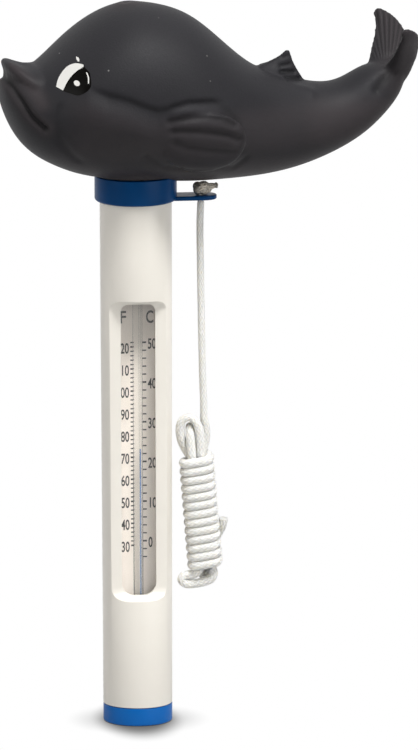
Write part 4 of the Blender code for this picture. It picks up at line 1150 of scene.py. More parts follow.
@dataclass
class WhaleFloat:
    """The hollow vinyl whale: body, lip, fins and flukes as one skin, with its drawn lines and painted eyes."""

    seat_height: float = 195.2 * MM
    yaw: float = math.radians(8.0)
    segments: int = 16
    fin_segments: int = 12
    skin_cell: float = 0.70 * MM
    smoothing: int = 9
    fine_smoothing: int = 2
    seat_radius: float = 14.9 * MM
    neck_radius: float = 14.7 * MM
    neck_height: float = 8.4 * MM
    spigot_room: float = 10.3 * MM
    spigot_depth: float = 12.0 * MM
    pad_centre: Point = (19.0, 26.9, 14.8)
    pad_half_sizes: Point = (15.0, 2.6, 12.0)
    pad_tilt: float = math.radians(22)
    pad_toe: float = math.radians(4)
    pad_relief: float = 0.4
    eye_lift: float = 0.06
    eye_root: float = 0.04
    body: tuple[Section, ...] = (
        Section(-48.6, 33.0, 3.3, 5.5, 0),
        Section(-46.4, 30.4, 8.2, 11.0, 0),
        Section(-42.5, 26.6, 12.3, 16.0, 0),
        Section(-37.0, 23.8, 15.2, 20.0, 0),
        Section(-30.0, 24.5, 19.9, 25.0, 0),
        Section(-20.0, 27.25, 26.75, 29.5, 0),
        Section(-6.0, 30.1, 31.5, 32.0, 0),
        Section(8.0, 28.9, 31.3, 32.0, 0),
        Section(20.0, 26.5, 29.7, 30.2, 0),
        Section(31.0, 21.6, 24.4, 26.0, 0),
        Section(42.0, 16.8, 19.2, 21.0, 0),
        Section(53.0, 16.2, 17.0, 17.5, 4),
        Section(64.0, 16.4, 13.7, 15.0, 10),
        Section(75.0, 19.1, 11.0, 12.8, 25),
        Section(82.5, 24.2, 9.6, 11.5, 39),
        Section(88.9, 30.1, 8.3, 9.6, 50),
        Section(93.8, 33.8, 3.6, 7.4, 57),
        Section(95.6, 36.6, 1.6, 4.4, 60),
    )
    lip: tuple[Section, ...] = (
        Section(-33.0, 32.0, 9.0, 17.0, -25),
        Section(-39.0, 35.6, 5.6, 15.0, -30),
        Section(-44.0, 39.4, 3.0, 10.5, -38),
        Section(-47.2, 42.4, 1.0, 5.0, -45),
    )
    fluke: tuple[FinSection, ...] = (
        FinSection((83.0, 1.0, 29.0), (97.0, 1.0, 27.0), 4.6),
        FinSection((84.4, 5.4, 35.4), (100.2, 5.0, 38.2), 3.0),
        FinSection((88.0, 12.0, 41.8), (100.4, 11.0, 45.0), 1.9),
        FinSection((89.2, 18.0, 47.4), (97.8, 16.8, 48.6), 1.4),
        FinSection((90.2, 20.6, 51.0), (93.0, 20.5, 51.6), 0.9),
    )
    near_fluke: tuple[FinSection, ...] = (
        FinSection((85.0, 1.0, 28.5), (97.0, 1.0, 27.0), 4.6),
        FinSection((88.4, 6.0, 35.0), (100.2, 5.0, 38.2), 3.0),
        FinSection((89.8, 12.0, 41.2), (100.4, 11.0, 45.0), 1.9),
        FinSection((90.2, 18.0, 47.0), (97.8, 16.8, 48.6), 1.4),
        FinSection((91.0, 20.4, 50.2), (93.6, 20.3, 50.8), 0.9),
    )
    fluke_facing: Point = (0.11, -0.66, 0.75)
    dorsal: tuple[FinSection, ...] = (
        FinSection((35.0, 0.0, 33.0), (63.0, 0.0, 27.0), 5.0),
        FinSection((43.4, 0.0, 36.4), (59.6, 0.0, 32.8), 3.0),
        FinSection((49.2, 0.0, 38.4), (57.2, 0.0, 36.4), 2.0),
        FinSection((52.4, 0.0, 40.1), (56.1, 0.0, 39.2), 1.4),
        FinSection((54.2, 0.0, 42.2), (55.6, 0.0, 41.8), 1.0),
    )
    face_creases: tuple[Crease, ...] = (
        Crease(
            ((-47.5, 0.0, 37.0), (-46.3, 8.3, 35.1), (-43.8, 13.9, 30.0), (-41.0, 16.8, 25.1), (-36.8, 19.6, 21.1)),
            -1.5, 1.0, 0.85,
        ),
        Crease(
            ((-45.7, 6.9, 41.2), (-43.1, 11.1, 38.3), (-40.4, 13.4, 35.1), (-38.6, 16.3, 32.0), (-37.6, 18.4, 29.5)),
            0.25, 2.4, 0.0,
        ),
        Crease(
            ((-40.5, 4.3, 41.2), (-38.5, 13.1, 37.8), (-36.0, 17.8, 32.5), (-35.0, 21.0, 27.8), (-34.7, 21.5, 23.6)),
            -0.5, 2.4, 0.05,
        ),
        Crease(
            ((-32.2, 22.7, 28.7), (-33.2, 22.6, 25.1), (-32.6, 21.7, 18.9), (-28.8, 20.8, 13.5), (-24.8, 19.0, 9.4)),
            -0.5, 1.3, 0.18,
        ),
        Crease(
            ((90.3, 17.6, 46.8), (90.4, 14.2, 42.9), (90.4, 10.4, 38.5), (89.4, 8.6, 34.5), (87.2, 9.4, 31.4), (84.4, 10.4, 28.0)),
            -1.0, 1.5, 0.55,
        ),
        Crease(((91.8, 19.6, 48.9), (95.4, 14.7, 44.5), (97.8, 7.6, 37.6)), 0.4, 1.2, 0.0),
    )
    flank_creases: tuple[Crease, ...] = (
        Crease(((5.5, 23.6), (8.4, 24.2), (13.9, 24.8), (18.7, 24.9), (24.3, 23.8), (28.6, 21.4)), -1.0, 1.0, 0.4),
        Crease(((6.9, 19.8), (9.7, 20.1), (15.0, 19.8), (20.6, 19.0), (26.3, 17.8), (30.4, 16.0)), -1.0, 1.0, 0.4),
        Crease(((7.5, 15.9), (11.8, 14.2), (17.3, 13.1), (23.0, 12.3), (29.4, 11.2)), -0.7, 1.0, 0.3),
        Crease(((-2.1, 11.0), (5.3, 5.9), (13.1, 4.8), (22.0, 4.6), (31.2, 4.5), (35.0, 8.0)), -0.45, 0.9, 0.3),
        Crease(((52.5, 39.1), (54.7, 39.7)), -0.35, 0.5, 0.35),
        Crease(((51.7, 36.3), (54.9, 36.7)), -0.5, 0.55, 0.5),
        Crease(((51.6, 34.3), (56.6, 33.9)), -0.75, 0.6, 0.6),
        Crease(((52.9, 32.2), (58.7, 31.4)), -0.8, 0.6, 0.65),
        Crease(((45.5, 35.4), (50.0, 33.4), (55.0, 30.4), (61.0, 28.0)), 0.6, 1.2, 0.0),
    )
    fold: tuple[Spot, ...] = (
        (-22.8, 35.7), (-19.6, 34.5), (-16.3, 33.3), (-13.0, 32.5), (-9.5, 31.5), (-6.1, 30.1), (-2.5, 28.6), (1.1, 27.5),
        (4.0, 27.8), (6.5, 28.7), (12.1, 29.8), (20.4, 29.4), (27.3, 28.6),
    )
    fold_depth: float = 1.1
    fold_over: float = 0.85
    fold_under: Spot = (3.6, 1.3)
    cheek_drop: float = 8.5
    cheek_spread: float = 4.4
    cheek_height: float = 1.4
    pad_outline: tuple[Spot, ...] = (
        (1.1, 26.4), (10.9, 28.8), (20.0, 29.4), (26.2, 25.9), (30.6, 20.9), (31.8, 17.8), (30.7, 13.0), (34.3, 7.6),
        (30.3, 3.7), (22.1, 1.6), (11.8, 5.8), (4.6, 9.5),
    )
    eye_white: tuple[tuple[Spot, ...], tuple[Spot, ...]] = (
        ((-32.3, 35.6), (-31.0, 38.4), (-28.1, 41.8), (-25.2, 43.4), (-22.9, 43.3)),
        ((-30.4, 34.6), (-29.0, 37.0), (-27.4, 39.1), (-25.4, 41.0), (-23.2, 42.3)),
    )
    eye_dark: tuple[tuple[Spot, ...], tuple[Spot, ...]] = (
        ((-30.4, 34.6), (-29.0, 37.0), (-27.4, 39.1), (-25.4, 41.0), (-22.9, 42.7)),
        ((-30.2, 34.4), (-28.6, 34.0), (-25.6, 33.6), (-21.9, 36.2), (-21.4, 40.8)),
    )
    eye_arc: tuple[tuple[Spot, ...], tuple[Spot, ...]] = (
        ((-22.6, 41.0), (-22.3, 39.3), (-22.5, 37.4)),
        ((-22.2, 40.9), (-21.9, 39.3), (-22.15, 37.5)),
    )
    eye_mark: tuple[tuple[Spot, ...], tuple[Spot, ...]] = (
        ((-24.5, 45.4), (-24.6, 44.6), (-24.4, 44.0)),
        ((-23.9, 45.2), (-23.8, 44.6), (-24.0, 44.1)),
    )
    eye_dot: Spot = (-25.9, 37.3)
    eye_dot_radius: float = 0.9

    def build(self) -> None:
        """Make the skin, paint the eyes on it and cut the collar's seat."""
        whale = self.skin()
        self.emboss(whale)
        place = Matrix.Translation((0.0, 0.0, self.seat_height)) @ Matrix.Rotation(self.yaw, 4, "Z")
        tree = BVHTree.FromObject(whale, bpy.context.evaluated_depsgraph_get())
        dot = [
            tuple(arc(self.eye_dot, self.eye_dot_radius, math.pi, end, 8)) for end in (0.0, 2 * math.pi)
        ]
        for label, side in (("near", -1.0), ("far", 1.0)):
            paints = (
                ("eye_white", self.eye_white, EYE_WHITE, 1),
                ("eye_dark", self.eye_dark, EYE_DARK, 2),
                ("eye_arc", self.eye_arc, EYE_WHITE, 3),
                ("eye_mark", self.eye_mark, EYE_WHITE, 1),
                ("eye_dot", dot, EYE_WHITE, 3),
            )
            for name, edges, finish, layer in paints:
                bm = self.painted(tree, edges, side, self.eye_lift * layer * MM)
                bmesh.ops.transform(bm, matrix=place, verts=bm.verts)
                install(new_object(f"{label}_{name}", bm, finish), Body.FLOAT, finish)
        whale.data.transform(place)
        below = self.seat_height - 20 * MM
        seat = turned([(0.0, below), (self.seat_radius, below), (self.seat_radius, self.seat_height), (0.0, self.seat_height)], 96)
        top = self.seat_height + self.spigot_depth
        room = turned([(0.0, below), (self.spigot_room, below), (self.spigot_room, top), (0.0, top)], 96)
        cutters = [new_object("collar_seat", seat, VINYL), new_object("spigot_room", room, VINYL)]
        combine(whale, Cut.REMOVE, *cutters)
        install(whale, Body.FLOAT, VINYL, "whale_float")

    def body_rings(self, sections: tuple[Section, ...]) -> list[Matrix]:
        """Return the rings of the body or the lip, widened for their cage."""
        widen = 3.0 / (2.0 + math.cos(2 * math.pi / self.segments)) * MM
        rings = []
        for section in sections:
            lean = math.radians(section.lean)
            upward = Vector((-math.sin(lean), 0.0, math.cos(lean))) * section.half_height * widen
            centre = Vector((section.along, 0.0, section.up)) * MM
            rings.append(ring_matrix(centre, Vector((0.0, section.half_width * widen, 0.0)), upward))
        return rings

    def fin_rings(self, sections: tuple[FinSection, ...], facing: Point, side: float) -> list[Matrix]:
        """Return the rings of a fin on one side of the float.

        Args:
            sections: The fin's sections from its root to its tip.
            facing: The way its faces look.
            side: 1 for the fin as drawn, -1 for its mirror image.

        Returns:
            The matrices of the fin's rings.
        """
        mirror = Vector((1.0, side, 1.0))
        rings = []
        for section in sections:
            leading = Vector(section.leading) * mirror * MM
            trailing = Vector(section.trailing) * mirror * MM
            thickness = Vector(facing).normalized() * mirror * section.half_thickness * MM
            rings.append(ring_matrix((leading + trailing) / 2, (trailing - leading) / 2, thickness))
        return rings

    def pad(self, side: float) -> bmesh.types.BMesh:
        """Return one folded pectoral fin as a flat pad on the flank."""
        bm = bmesh.new()
        bmesh.ops.create_uvsphere(bm, u_segments=48, v_segments=24, radius=1.0)
        bmesh.ops.scale(bm, vec=Vector(self.pad_half_sizes) * MM, verts=bm.verts)
        turn = Matrix.Rotation(-self.pad_toe * side, 4, "Z") @ Matrix.Rotation(-self.pad_tilt * side, 4, "X")
        centre = Vector(self.pad_centre) * Vector((1.0, side, 1.0)) * MM
        bmesh.ops.transform(bm, matrix=Matrix.Translation(centre) @ turn, verts=bm.verts)
        return bm

    def skin(self) -> bpy.types.Object:
        """Return body, lip, neck, fins and flukes grown together into one skin."""
        forms = [
            lofted(self.body_rings(self.body), self.segments, 3),
            lofted(self.body_rings(self.lip), self.segments, 3),
            lofted(self.fin_rings(self.dorsal, (0.0, 1.0, 0.0), 1.0), self.fin_segments, 2),
            turned([(0.0, 0.0), (self.neck_radius, 0.0), (self.neck_radius, self.neck_height), (0.0, self.neck_height)], 96),
        ]
        for side, lobe in ((1.0, self.fluke), (-1.0, self.near_fluke)):
            forms.append(lofted(self.fin_rings(lobe, self.fluke_facing, side), self.fin_segments, 2))
            forms.append(self.pad(side))
        joined = bmesh.new()
        for form in forms:
            mesh = bpy.data.meshes.new("form")
            form.to_mesh(mesh)
            form.free()
            joined.from_mesh(mesh)
            bpy.data.meshes.remove(mesh)
        whale = new_object("whale_skin", joined, VINYL, 180.0)
        remesh = whale.modifiers.new("grow", "REMESH")
        remesh.mode = "VOXEL"
        remesh.voxel_size = self.skin_cell
        remesh.use_smooth_shade = True
        smooth = whale.modifiers.new("smooth", "SMOOTH")
        smooth.factor = 0.5
        smooth.iterations = self.smoothing
        bpy.context.view_layer.update()
        settle(whale)
        self.refine(whale)
        return whale

    def is_fine(self, spot: Vector) -> bool:
        """Return whether a place in millimetres is on the flukes or the dorsal fin."""
        return spot.x > 83.0 or (50.0 < spot.x < 62.0 and spot.z > 29.5)

    def refine(self, whale: bpy.types.Object) -> None:
        """Split the skin's faces on the flukes and the dorsal fin, where fine rays are drawn.

        Args:
            whale: The float's skin, which changes.
        """
        bm = bmesh.new()
        bm.from_mesh(whale.data)
        edges = {}
        for face in bm.faces:
            if self.is_fine(face.calc_center_median() / MM):
                edges.update(dict.fromkeys(face.edges))
        bmesh.ops.subdivide_edges(bm, edges=list(edges), cuts=1, use_grid_fill=True)
        fine = [vert for vert in bm.verts if self.is_fine(vert.co / MM)]
        for _ in range(self.fine_smoothing):
            bmesh.ops.smooth_vert(bm, verts=fine, factor=0.5, use_axis_x=True, use_axis_y=True, use_axis_z=True)
        bm.to_mesh(whale.data)
        bm.free()

    def emboss(self, whale: bpy.types.Object) -> None:
        """Press the face's and flanks' lines into the skin, paint shade into the creases, and paint a paler tint: worn
        paint on the rims, painted light on the lower flanks and the tail.

        Args:
            whale: The float's skin, which changes.
        """
        mesh = whale.data
        count = len(mesh.vertices)
        places = np.empty(count * 3)
        mesh.vertices.foreach_get("co", places)
        places = places.reshape(-1, 3)
        normals = np.empty(count * 3, dtype=np.float32)
        mesh.vertex_normals.foreach_get("vector", normals)
        normals = normals.reshape(-1, 3).astype(float)
        spots = places / MM
        folded = spots * np.array((1.0, 0.0, 1.0)) + np.abs(spots) * np.array((0.0, 1.0, 0.0))
        side_view = spots[:, (0, 2)]
        flank = soft_step(np.abs(normals[:, 1]), 0.15, 0.5)

        pressed = np.zeros(count)
        raised = np.zeros(count)
        crease = np.zeros(count)
        # Each line darkens its own groove by its shade: painted shade in the crease.
        lines = [(line, folded, np.ones(count)) for line in self.face_creases]
        lines += [(line, side_view, flank) for line in self.flank_creases]
        for line, seen, share in lines:
            fall = np.exp(-0.5 * (distance_to(seen, line.route) / line.spread) ** 2) * share
            pressed = np.minimum(pressed, line.height * fall)
            raised = np.maximum(raised, line.height * fall)
            crease = np.maximum(crease, line.shade * fall)
        rise = pressed + raised

        line = np.array(self.fold)
        above = spots[:, 2] - np.interp(spots[:, 0], line[:, 0], line[:, 1])
        wide, narrow = self.fold_under
        under = wide + (narrow - wide) * soft_step(spots[:, 0], 0.0, 8.0)
        ends = soft_step(spots[:, 0], -24.0, -15.0) * soft_step(-spots[:, 0], -27.0, -20.0)
        fall = np.exp(-0.5 * (above / np.where(above > 0.0, self.fold_over, under)) ** 2) * flank * ends
        rise -= self.fold_depth * fall
        cheek = np.exp(-0.5 * ((above + self.cheek_drop) / self.cheek_spread) ** 2) * flank
        rise += self.cheek_height * cheek * soft_step(spots[:, 0], -32.0, -22.0) * soft_step(-spots[:, 0], -6.0, 6.0)
        # Painted shade along the fold line.
        crease = np.maximum(crease, 0.25 * np.exp(-0.5 * (above / self.fold_over) ** 2) * flank * ends)

        closed = self.pad_outline + self.pad_outline[:1]
        edge = distance_to(side_view, closed)
        depth = np.where(inside(side_view, self.pad_outline), edge, -edge)
        grown = flank * soft_step(spots[:, 0], 4.0, 14.0)
        rise += self.pad_relief * soft_step(depth, -1.5, 3.0) * grown
        # Painted shade round the pectoral pad's rim.
        crease = np.maximum(crease, 0.30 * np.exp(-0.5 * ((depth + 0.8) / 0.7) ** 2) * grown)

        blowhole = np.linalg.norm((spots - np.array((-3.2, 0.0, 61.0))) * np.array((1.0, 1.0, 0.5)), axis=1)
        rise += 0.8 * np.exp(-0.5 * (blowhole / 3.2) ** 2) - 0.7 * np.exp(-0.5 * (blowhole / 1.1) ** 2)
        reach = 0.66 * np.abs(spots[:, 1]) + 0.75 * (spots[:, 2] - 28.0)
        fan = np.arctan2(spots[:, 0] - 88.0, reach + 8.0)
        rays = np.cos(fan * 110.0)
        inner = soft_step(-normals[:, 1] * np.sign(spots[:, 1]), 0.1, 0.5)
        lobe = soft_step(spots[:, 0], 84.0, 87.0) * soft_step(reach, 6.0, 12.0) * inner
        rise += 0.2 * lobe * rays
        # Painted shade in the valleys between the flukes' rays.
        crease = np.maximum(crease, 0.6 * lobe * soft_step(-rays, 0.1, 0.9))

        # Paler warm tint: worn paint at the lips, belly, flukes and blowhole; painted light on the flank below the fold
        # and on the tail's flank.
        lips = np.minimum(distance_to(folded, self.face_creases[0].route), distance_to(folded, self.face_creases[1].route))
        wear_and_light = 0.75 * np.exp(-0.5 * (lips / 2.4) ** 2)
        low = soft_step(-above, 0.0, 8.0) * soft_step(spots[:, 2], 3.0, 14.0) * flank
        wear_and_light = np.maximum(wear_and_light, 0.45 * low * soft_step(spots[:, 0], -34.0, -22.0))
        wear_and_light = np.maximum(wear_and_light, 0.70 * low * soft_step(spots[:, 0], 40.0, 66.0))
        wear_and_light = np.maximum(wear_and_light, 0.55 * soft_step(-spots[:, 2], -14.0, 2.0))
        wear_and_light = np.maximum(wear_and_light, 0.65 * soft_step(spots[:, 0], 82.0, 95.0))
        wear_and_light = np.maximum(wear_and_light, 0.85 * np.exp(-0.5 * (blowhole / 4.0) ** 2))

        mesh.vertices.foreach_set("co", (places + normals * rise[:, None] * MM).ravel())
        for name, values in (("crease", crease), ("wear_and_light", wear_and_light)):
            layer = mesh.attributes.new(name, "FLOAT", "POINT")
            layer.data.foreach_set("value", values.astype(np.float32))
        mesh.update()

    def painted(
        self, tree: BVHTree, edges: tuple[tuple[Spot, ...], tuple[Spot, ...]], side: float, lift: float
    ) -> bmesh.types.BMesh:
        """Lay a film of paint between two lines on one flank.

        Args:
            tree: The skin to lay it on.
            edges: The film's two edges in the side view, in millimetres.
            side: The flank, 1 or -1.
            lift: How far the film stands off the skin.

        Returns:
            The film.
        """
        lines = []
        for edge in edges:
            route = smooth_route([Vector((*spot, 0.0)) for spot in edge], 0.5)
            lines.append([route[round(step / 24 * (len(route) - 1))] for step in range(25)])
        bm = bmesh.new()
        bmesh.ops.create_grid(bm, x_segments=24, y_segments=6, size=0.5)
        for vert in bm.verts:
            step = round((vert.co.x + 0.5) * 24)
            spot = lines[0][step].lerp(lines[1][step], vert.co.y + 0.5) * MM
            start = Vector((spot.x, side * 60 * MM, spot.y))
            hit, normal, _, _ = tree.ray_cast(start, Vector((0.0, -side, 0.0)))
            vert.co = hit + normal * lift
        bmesh.ops.remove_doubles(bm, verts=bm.verts, dist=0.02 * MM)
        bm.normal_update()
        if sum(face.normal.y for face in bm.faces) * side < 0.0:
            bmesh.ops.reverse_faces(bm, faces=bm.faces)
        bm.normal_update()
        bmesh.ops.solidify(bm, geom=list(bm.faces), thickness=lift + self.eye_root * MM)
        return bm


@dataclass
class CaseTube:
    """The white tube with its flat and window, and the blue cap that closes its lower end."""

    bottom_radius: float = 12.1 * MM
    top_radius: float = 12.65 * MM
    bottom: float = 6.5 * MM
    top: float = 191.2 * MM
    wall: float = 1.5 * MM
    window_bottom: float = 46.0 * MM
    window_top: float = 150.4 * MM
    window_half_width: float = 6.05 * MM
    lower_corner: float = 4.6 * MM
    upper_corner: float = 3.0 * MM
    flat_y: float = -7.473 * MM
    flat_margin: float = 1.4 * MM
    flat_fillet: float = 4.4 * MM
    frame_wall: float = 1.4 * MM
    edge: float = 0.22 * MM
    segments: int = 160
    cap_band: float = 6.2 * MM
    cap_edge: float = 0.6 * MM
    plug_depth: float = 4.8 * MM
    plug_chamfer: float = 0.8 * MM
    seal_section: float = 1.2 * MM

    def build(self) -> None:
        """Make the tube and the cap."""
        tube = self.tube()
        install(tube, Body.CASE, WHITE_PLASTIC, "case_tube")
        cap = new_object("plug_cap", turned(self.cap_profile(), 128), BLUE_PLASTIC)
        install(cap, Body.CASE, BLUE_PLASTIC, "bottom_cap")

    def tube(self) -> bpy.types.Object:
        """Return the tube with its bore, its flat and its opening, all edges softened."""
        profile = [(0.0, self.top), (self.top_radius, self.top), (self.bottom_radius, self.bottom), (0.0, self.bottom)]
        tube = new_object("window_tube", turned(profile, self.segments), WHITE_PLASTIC)
        wide = self.top_radius + 2 * MM
        flat_bottom = self.window_bottom - self.flat_margin
        flat_top = self.window_top + self.flat_margin
        frame_back = self.flat_y + self.frame_wall
        bore_radius = self.bottom_radius - self.wall
        below, above = self.bottom - 1 * MM, self.top + 1 * MM
        bore_profile = [(0.0, below), (bore_radius, below), (bore_radius, above), (0.0, above)]
        bore = new_object("bore", turned(bore_profile, self.segments), WHITE_PLASTIC)
        frame = block(
            (-wide, -wide, flat_bottom - self.frame_wall), (wide, frame_back, flat_top + self.frame_wall)
        )
        combine(bore, Cut.REMOVE, new_object("window_frame", frame, WHITE_PLASTIC))
        flat = block((-wide, -wide, flat_bottom), (wide, self.flat_y, flat_top))
        floor = [
            edge
            for edge in flat.edges
            if all(abs(vert.co.y - self.flat_y) < MERGE for vert in edge.verts)
            and abs(edge.verts[0].co.z - edge.verts[1].co.z) < MERGE
        ]
        soften(flat, floor, self.flat_fillet, 10)
        place = Matrix.Translation((0.0, self.flat_y - 1 * MM, 0.0)) @ Matrix.Rotation(QUARTER, 4, "X")
        opening = prism(self.window_outline(), place, -(self.frame_wall + 2 * MM))
        cutters = [new_object("flat", flat, WHITE_PLASTIC), new_object("opening", opening, WHITE_PLASTIC)]
        combine(tube, Cut.REMOVE, bore, *cutters)
        bm = bmesh.new()
        bm.from_mesh(tube.data)
        bmesh.ops.remove_doubles(bm, verts=bm.verts, dist=0.01 * MM)
        bmesh.ops.dissolve_limit(bm, angle_limit=0.002, verts=bm.verts, edges=bm.edges)
        bm.to_mesh(tube.data)
        bm.free()
        round_off = tube.modifiers.new("soft_edges", "BEVEL")
        round_off.width = self.edge
        round_off.segments = 3
        round_off.limit_method = "ANGLE"
        round_off.angle_limit = math.radians(25)
        round_off.harden_normals = False
        bpy.context.view_layer.update()
        settle(tube)
        clean(tube)
        tube.data.shade_smooth()
        tube.data.set_sharp_from_angle(angle=math.radians(30))
        return tube

    def window_outline(self) -> list[Spot]:
        """Return the opening's outline, seen from the front."""
        half = self.window_half_width
        outline = []
        for across, height, radius, start in (
            (half, self.window_top, self.upper_corner, 0.0),
            (-half, self.window_top, self.upper_corner, QUARTER),
            (-half, self.window_bottom, self.lower_corner, 2 * QUARTER),
            (half, self.window_bottom, self.lower_corner, 3 * QUARTER),
        ):
            sign = -1.0 if height == self.window_top else 1.0
            centre = (across - math.copysign(radius, across), height + sign * radius)
            outline += arc(centre, radius, start, start + QUARTER, 12)
        return outline

    def cap_profile(self) -> list[Spot]:
        """Return half of the cap's section: band, groove and plug."""
        inner = self.bottom_radius - self.wall - GAP
        middle = self.cap_band + self.plug_depth / 2
        half = self.seal_section / 2 + GAP
        groove = inner - self.seal_section - GAP
        top = self.cap_band + self.plug_depth
        profile = [
            (0.0, top),
            (inner - self.plug_chamfer, top),
            (inner, top - self.plug_chamfer),
            (inner, middle + half),
            (groove, middle + half),
            (groove, middle - half),
            (inner, middle - half),
            (inner, self.cap_band),
        ]
        rim = 0.25 * MM
        profile += arc((self.bottom_radius - rim, self.cap_band - rim), rim, QUARTER, 0.0, 4)
        profile += arc((self.bottom_radius - self.cap_edge, self.cap_edge), self.cap_edge, 0.0, -QUARTER, 8)
        return profile + [(0.0, 0.0)]


@dataclass
class EyeletCollar:
    """The blue collar on the tube's upper end, with its spigot and its eyelet tab."""

    bottom: float = 185.9 * MM
    deck_bottom: float = 192.5 * MM
    deck_top: float = 194.9 * MM
    radius: float = 14.4 * MM
    edge: float = 1.0 * MM
    skirt_inner: float = 12.95 * MM
    spigot_radius: float = 9.0 * MM
    spigot_wall: float = 1.8 * MM
    bead: float = 0.8 * MM
    bead_bottom: float = 199.7 * MM
    bead_length: float = 2.4 * MM
    lead: float = 4.0 * MM
    tab_half_width: float = 4.5 * MM
    tab_thickness: float = 1.5 * MM
    tab_reach: float = 28.4 * MM
    tab_edge: float = 0.35 * MM
    eye_reach: float = 22.8 * MM
    eye_radius: float = 1.55 * MM

    def build(self) -> None:
        """Make the ring with its spigot, join the tab to it and pierce the eye."""
        # The collar and tab take the darker blue: painted shade from the whale.
        collar = new_object("blue_collar", turned(self.profile(), 128), SHADED_BLUE_PLASTIC)
        tab_root = self.skirt_inner - self.tab_half_width
        tip = arc((self.tab_reach - self.tab_half_width, 0.0), self.tab_half_width, -QUARTER, QUARTER, 24)
        outline = [(tab_root, -self.tab_half_width), *tip, (tab_root, self.tab_half_width)]
        bm = prism(outline, Matrix.Translation((0.0, 0.0, self.bottom)), self.tab_thickness)
        rims = [edge for edge in sharp_edges(bm) if abs(edge.verts[0].co.z - edge.verts[1].co.z) < MERGE]
        soften(bm, rims, self.tab_edge)
        tab = new_object("eyelet_tab", bm, SHADED_BLUE_PLASTIC)
        middle = (self.skirt_inner + self.radius) / 2
        low, high = self.bottom - 1 * MM, self.deck_bottom
        room = turned([(0.0, low), (middle, low), (middle, high), (0.0, high)], 96)
        combine(tab, Cut.REMOVE, new_object("tube_room", room, SHADED_BLUE_PLASTIC))
        combine(collar, Cut.ADD, tab)
        top = self.bottom + self.tab_thickness
        rim, reach = 0.3 * MM, self.eye_radius
        eye_profile = [(0.0, low), (reach + rim, low)]
        eye_profile += arc((reach + rim, self.bottom + rim), rim, 3 * QUARTER, 2 * QUARTER, 4)
        eye_profile += arc((reach + rim, top - rim), rim, 2 * QUARTER, QUARTER, 4)
        eye_profile += [(reach + rim, top + 1 * MM), (0.0, top + 1 * MM)]
        eye = turned(eye_profile, 48, (self.eye_reach, 0.0))
        combine(collar, Cut.REMOVE, new_object("eye", eye, SHADED_BLUE_PLASTIC))
        collar.data.shade_smooth()
        collar.data.set_sharp_from_angle(angle=math.radians(35))
        install(collar, Body.CASE, SHADED_BLUE_PLASTIC, "eyelet_collar")

    def profile(self) -> list[Spot]:
        """Return half of the ring's section: spigot, deck and skirt."""
        inner = self.spigot_radius - self.spigot_wall
        bead_top = self.bead_bottom + self.bead_length
        top = bead_top + self.lead
        profile = [
            (0.0, self.deck_top),
            (inner, self.deck_top),
            (inner, top),
            (self.spigot_radius - self.bead, top),
            (self.spigot_radius, bead_top),
            (self.spigot_radius + self.bead, self.bead_bottom + self.bead_length / 2),
            (self.spigot_radius + self.bead, self.bead_bottom),
            (self.spigot_radius, self.bead_bottom),
            (self.spigot_radius, self.deck_top),
        ]
        rim = 0.3 * MM
        profile += arc((self.radius - rim, self.deck_top - rim), rim, QUARTER, 0.0, 4)
        profile += arc((self.radius - self.edge, self.bottom + self.edge), self.edge, 0.0, -QUARTER, 10)
        return profile + [
            (self.skirt_inner, self.bottom),
            (self.skirt_inner, self.deck_bottom),
            (0.0, self.deck_bottom),
        ]


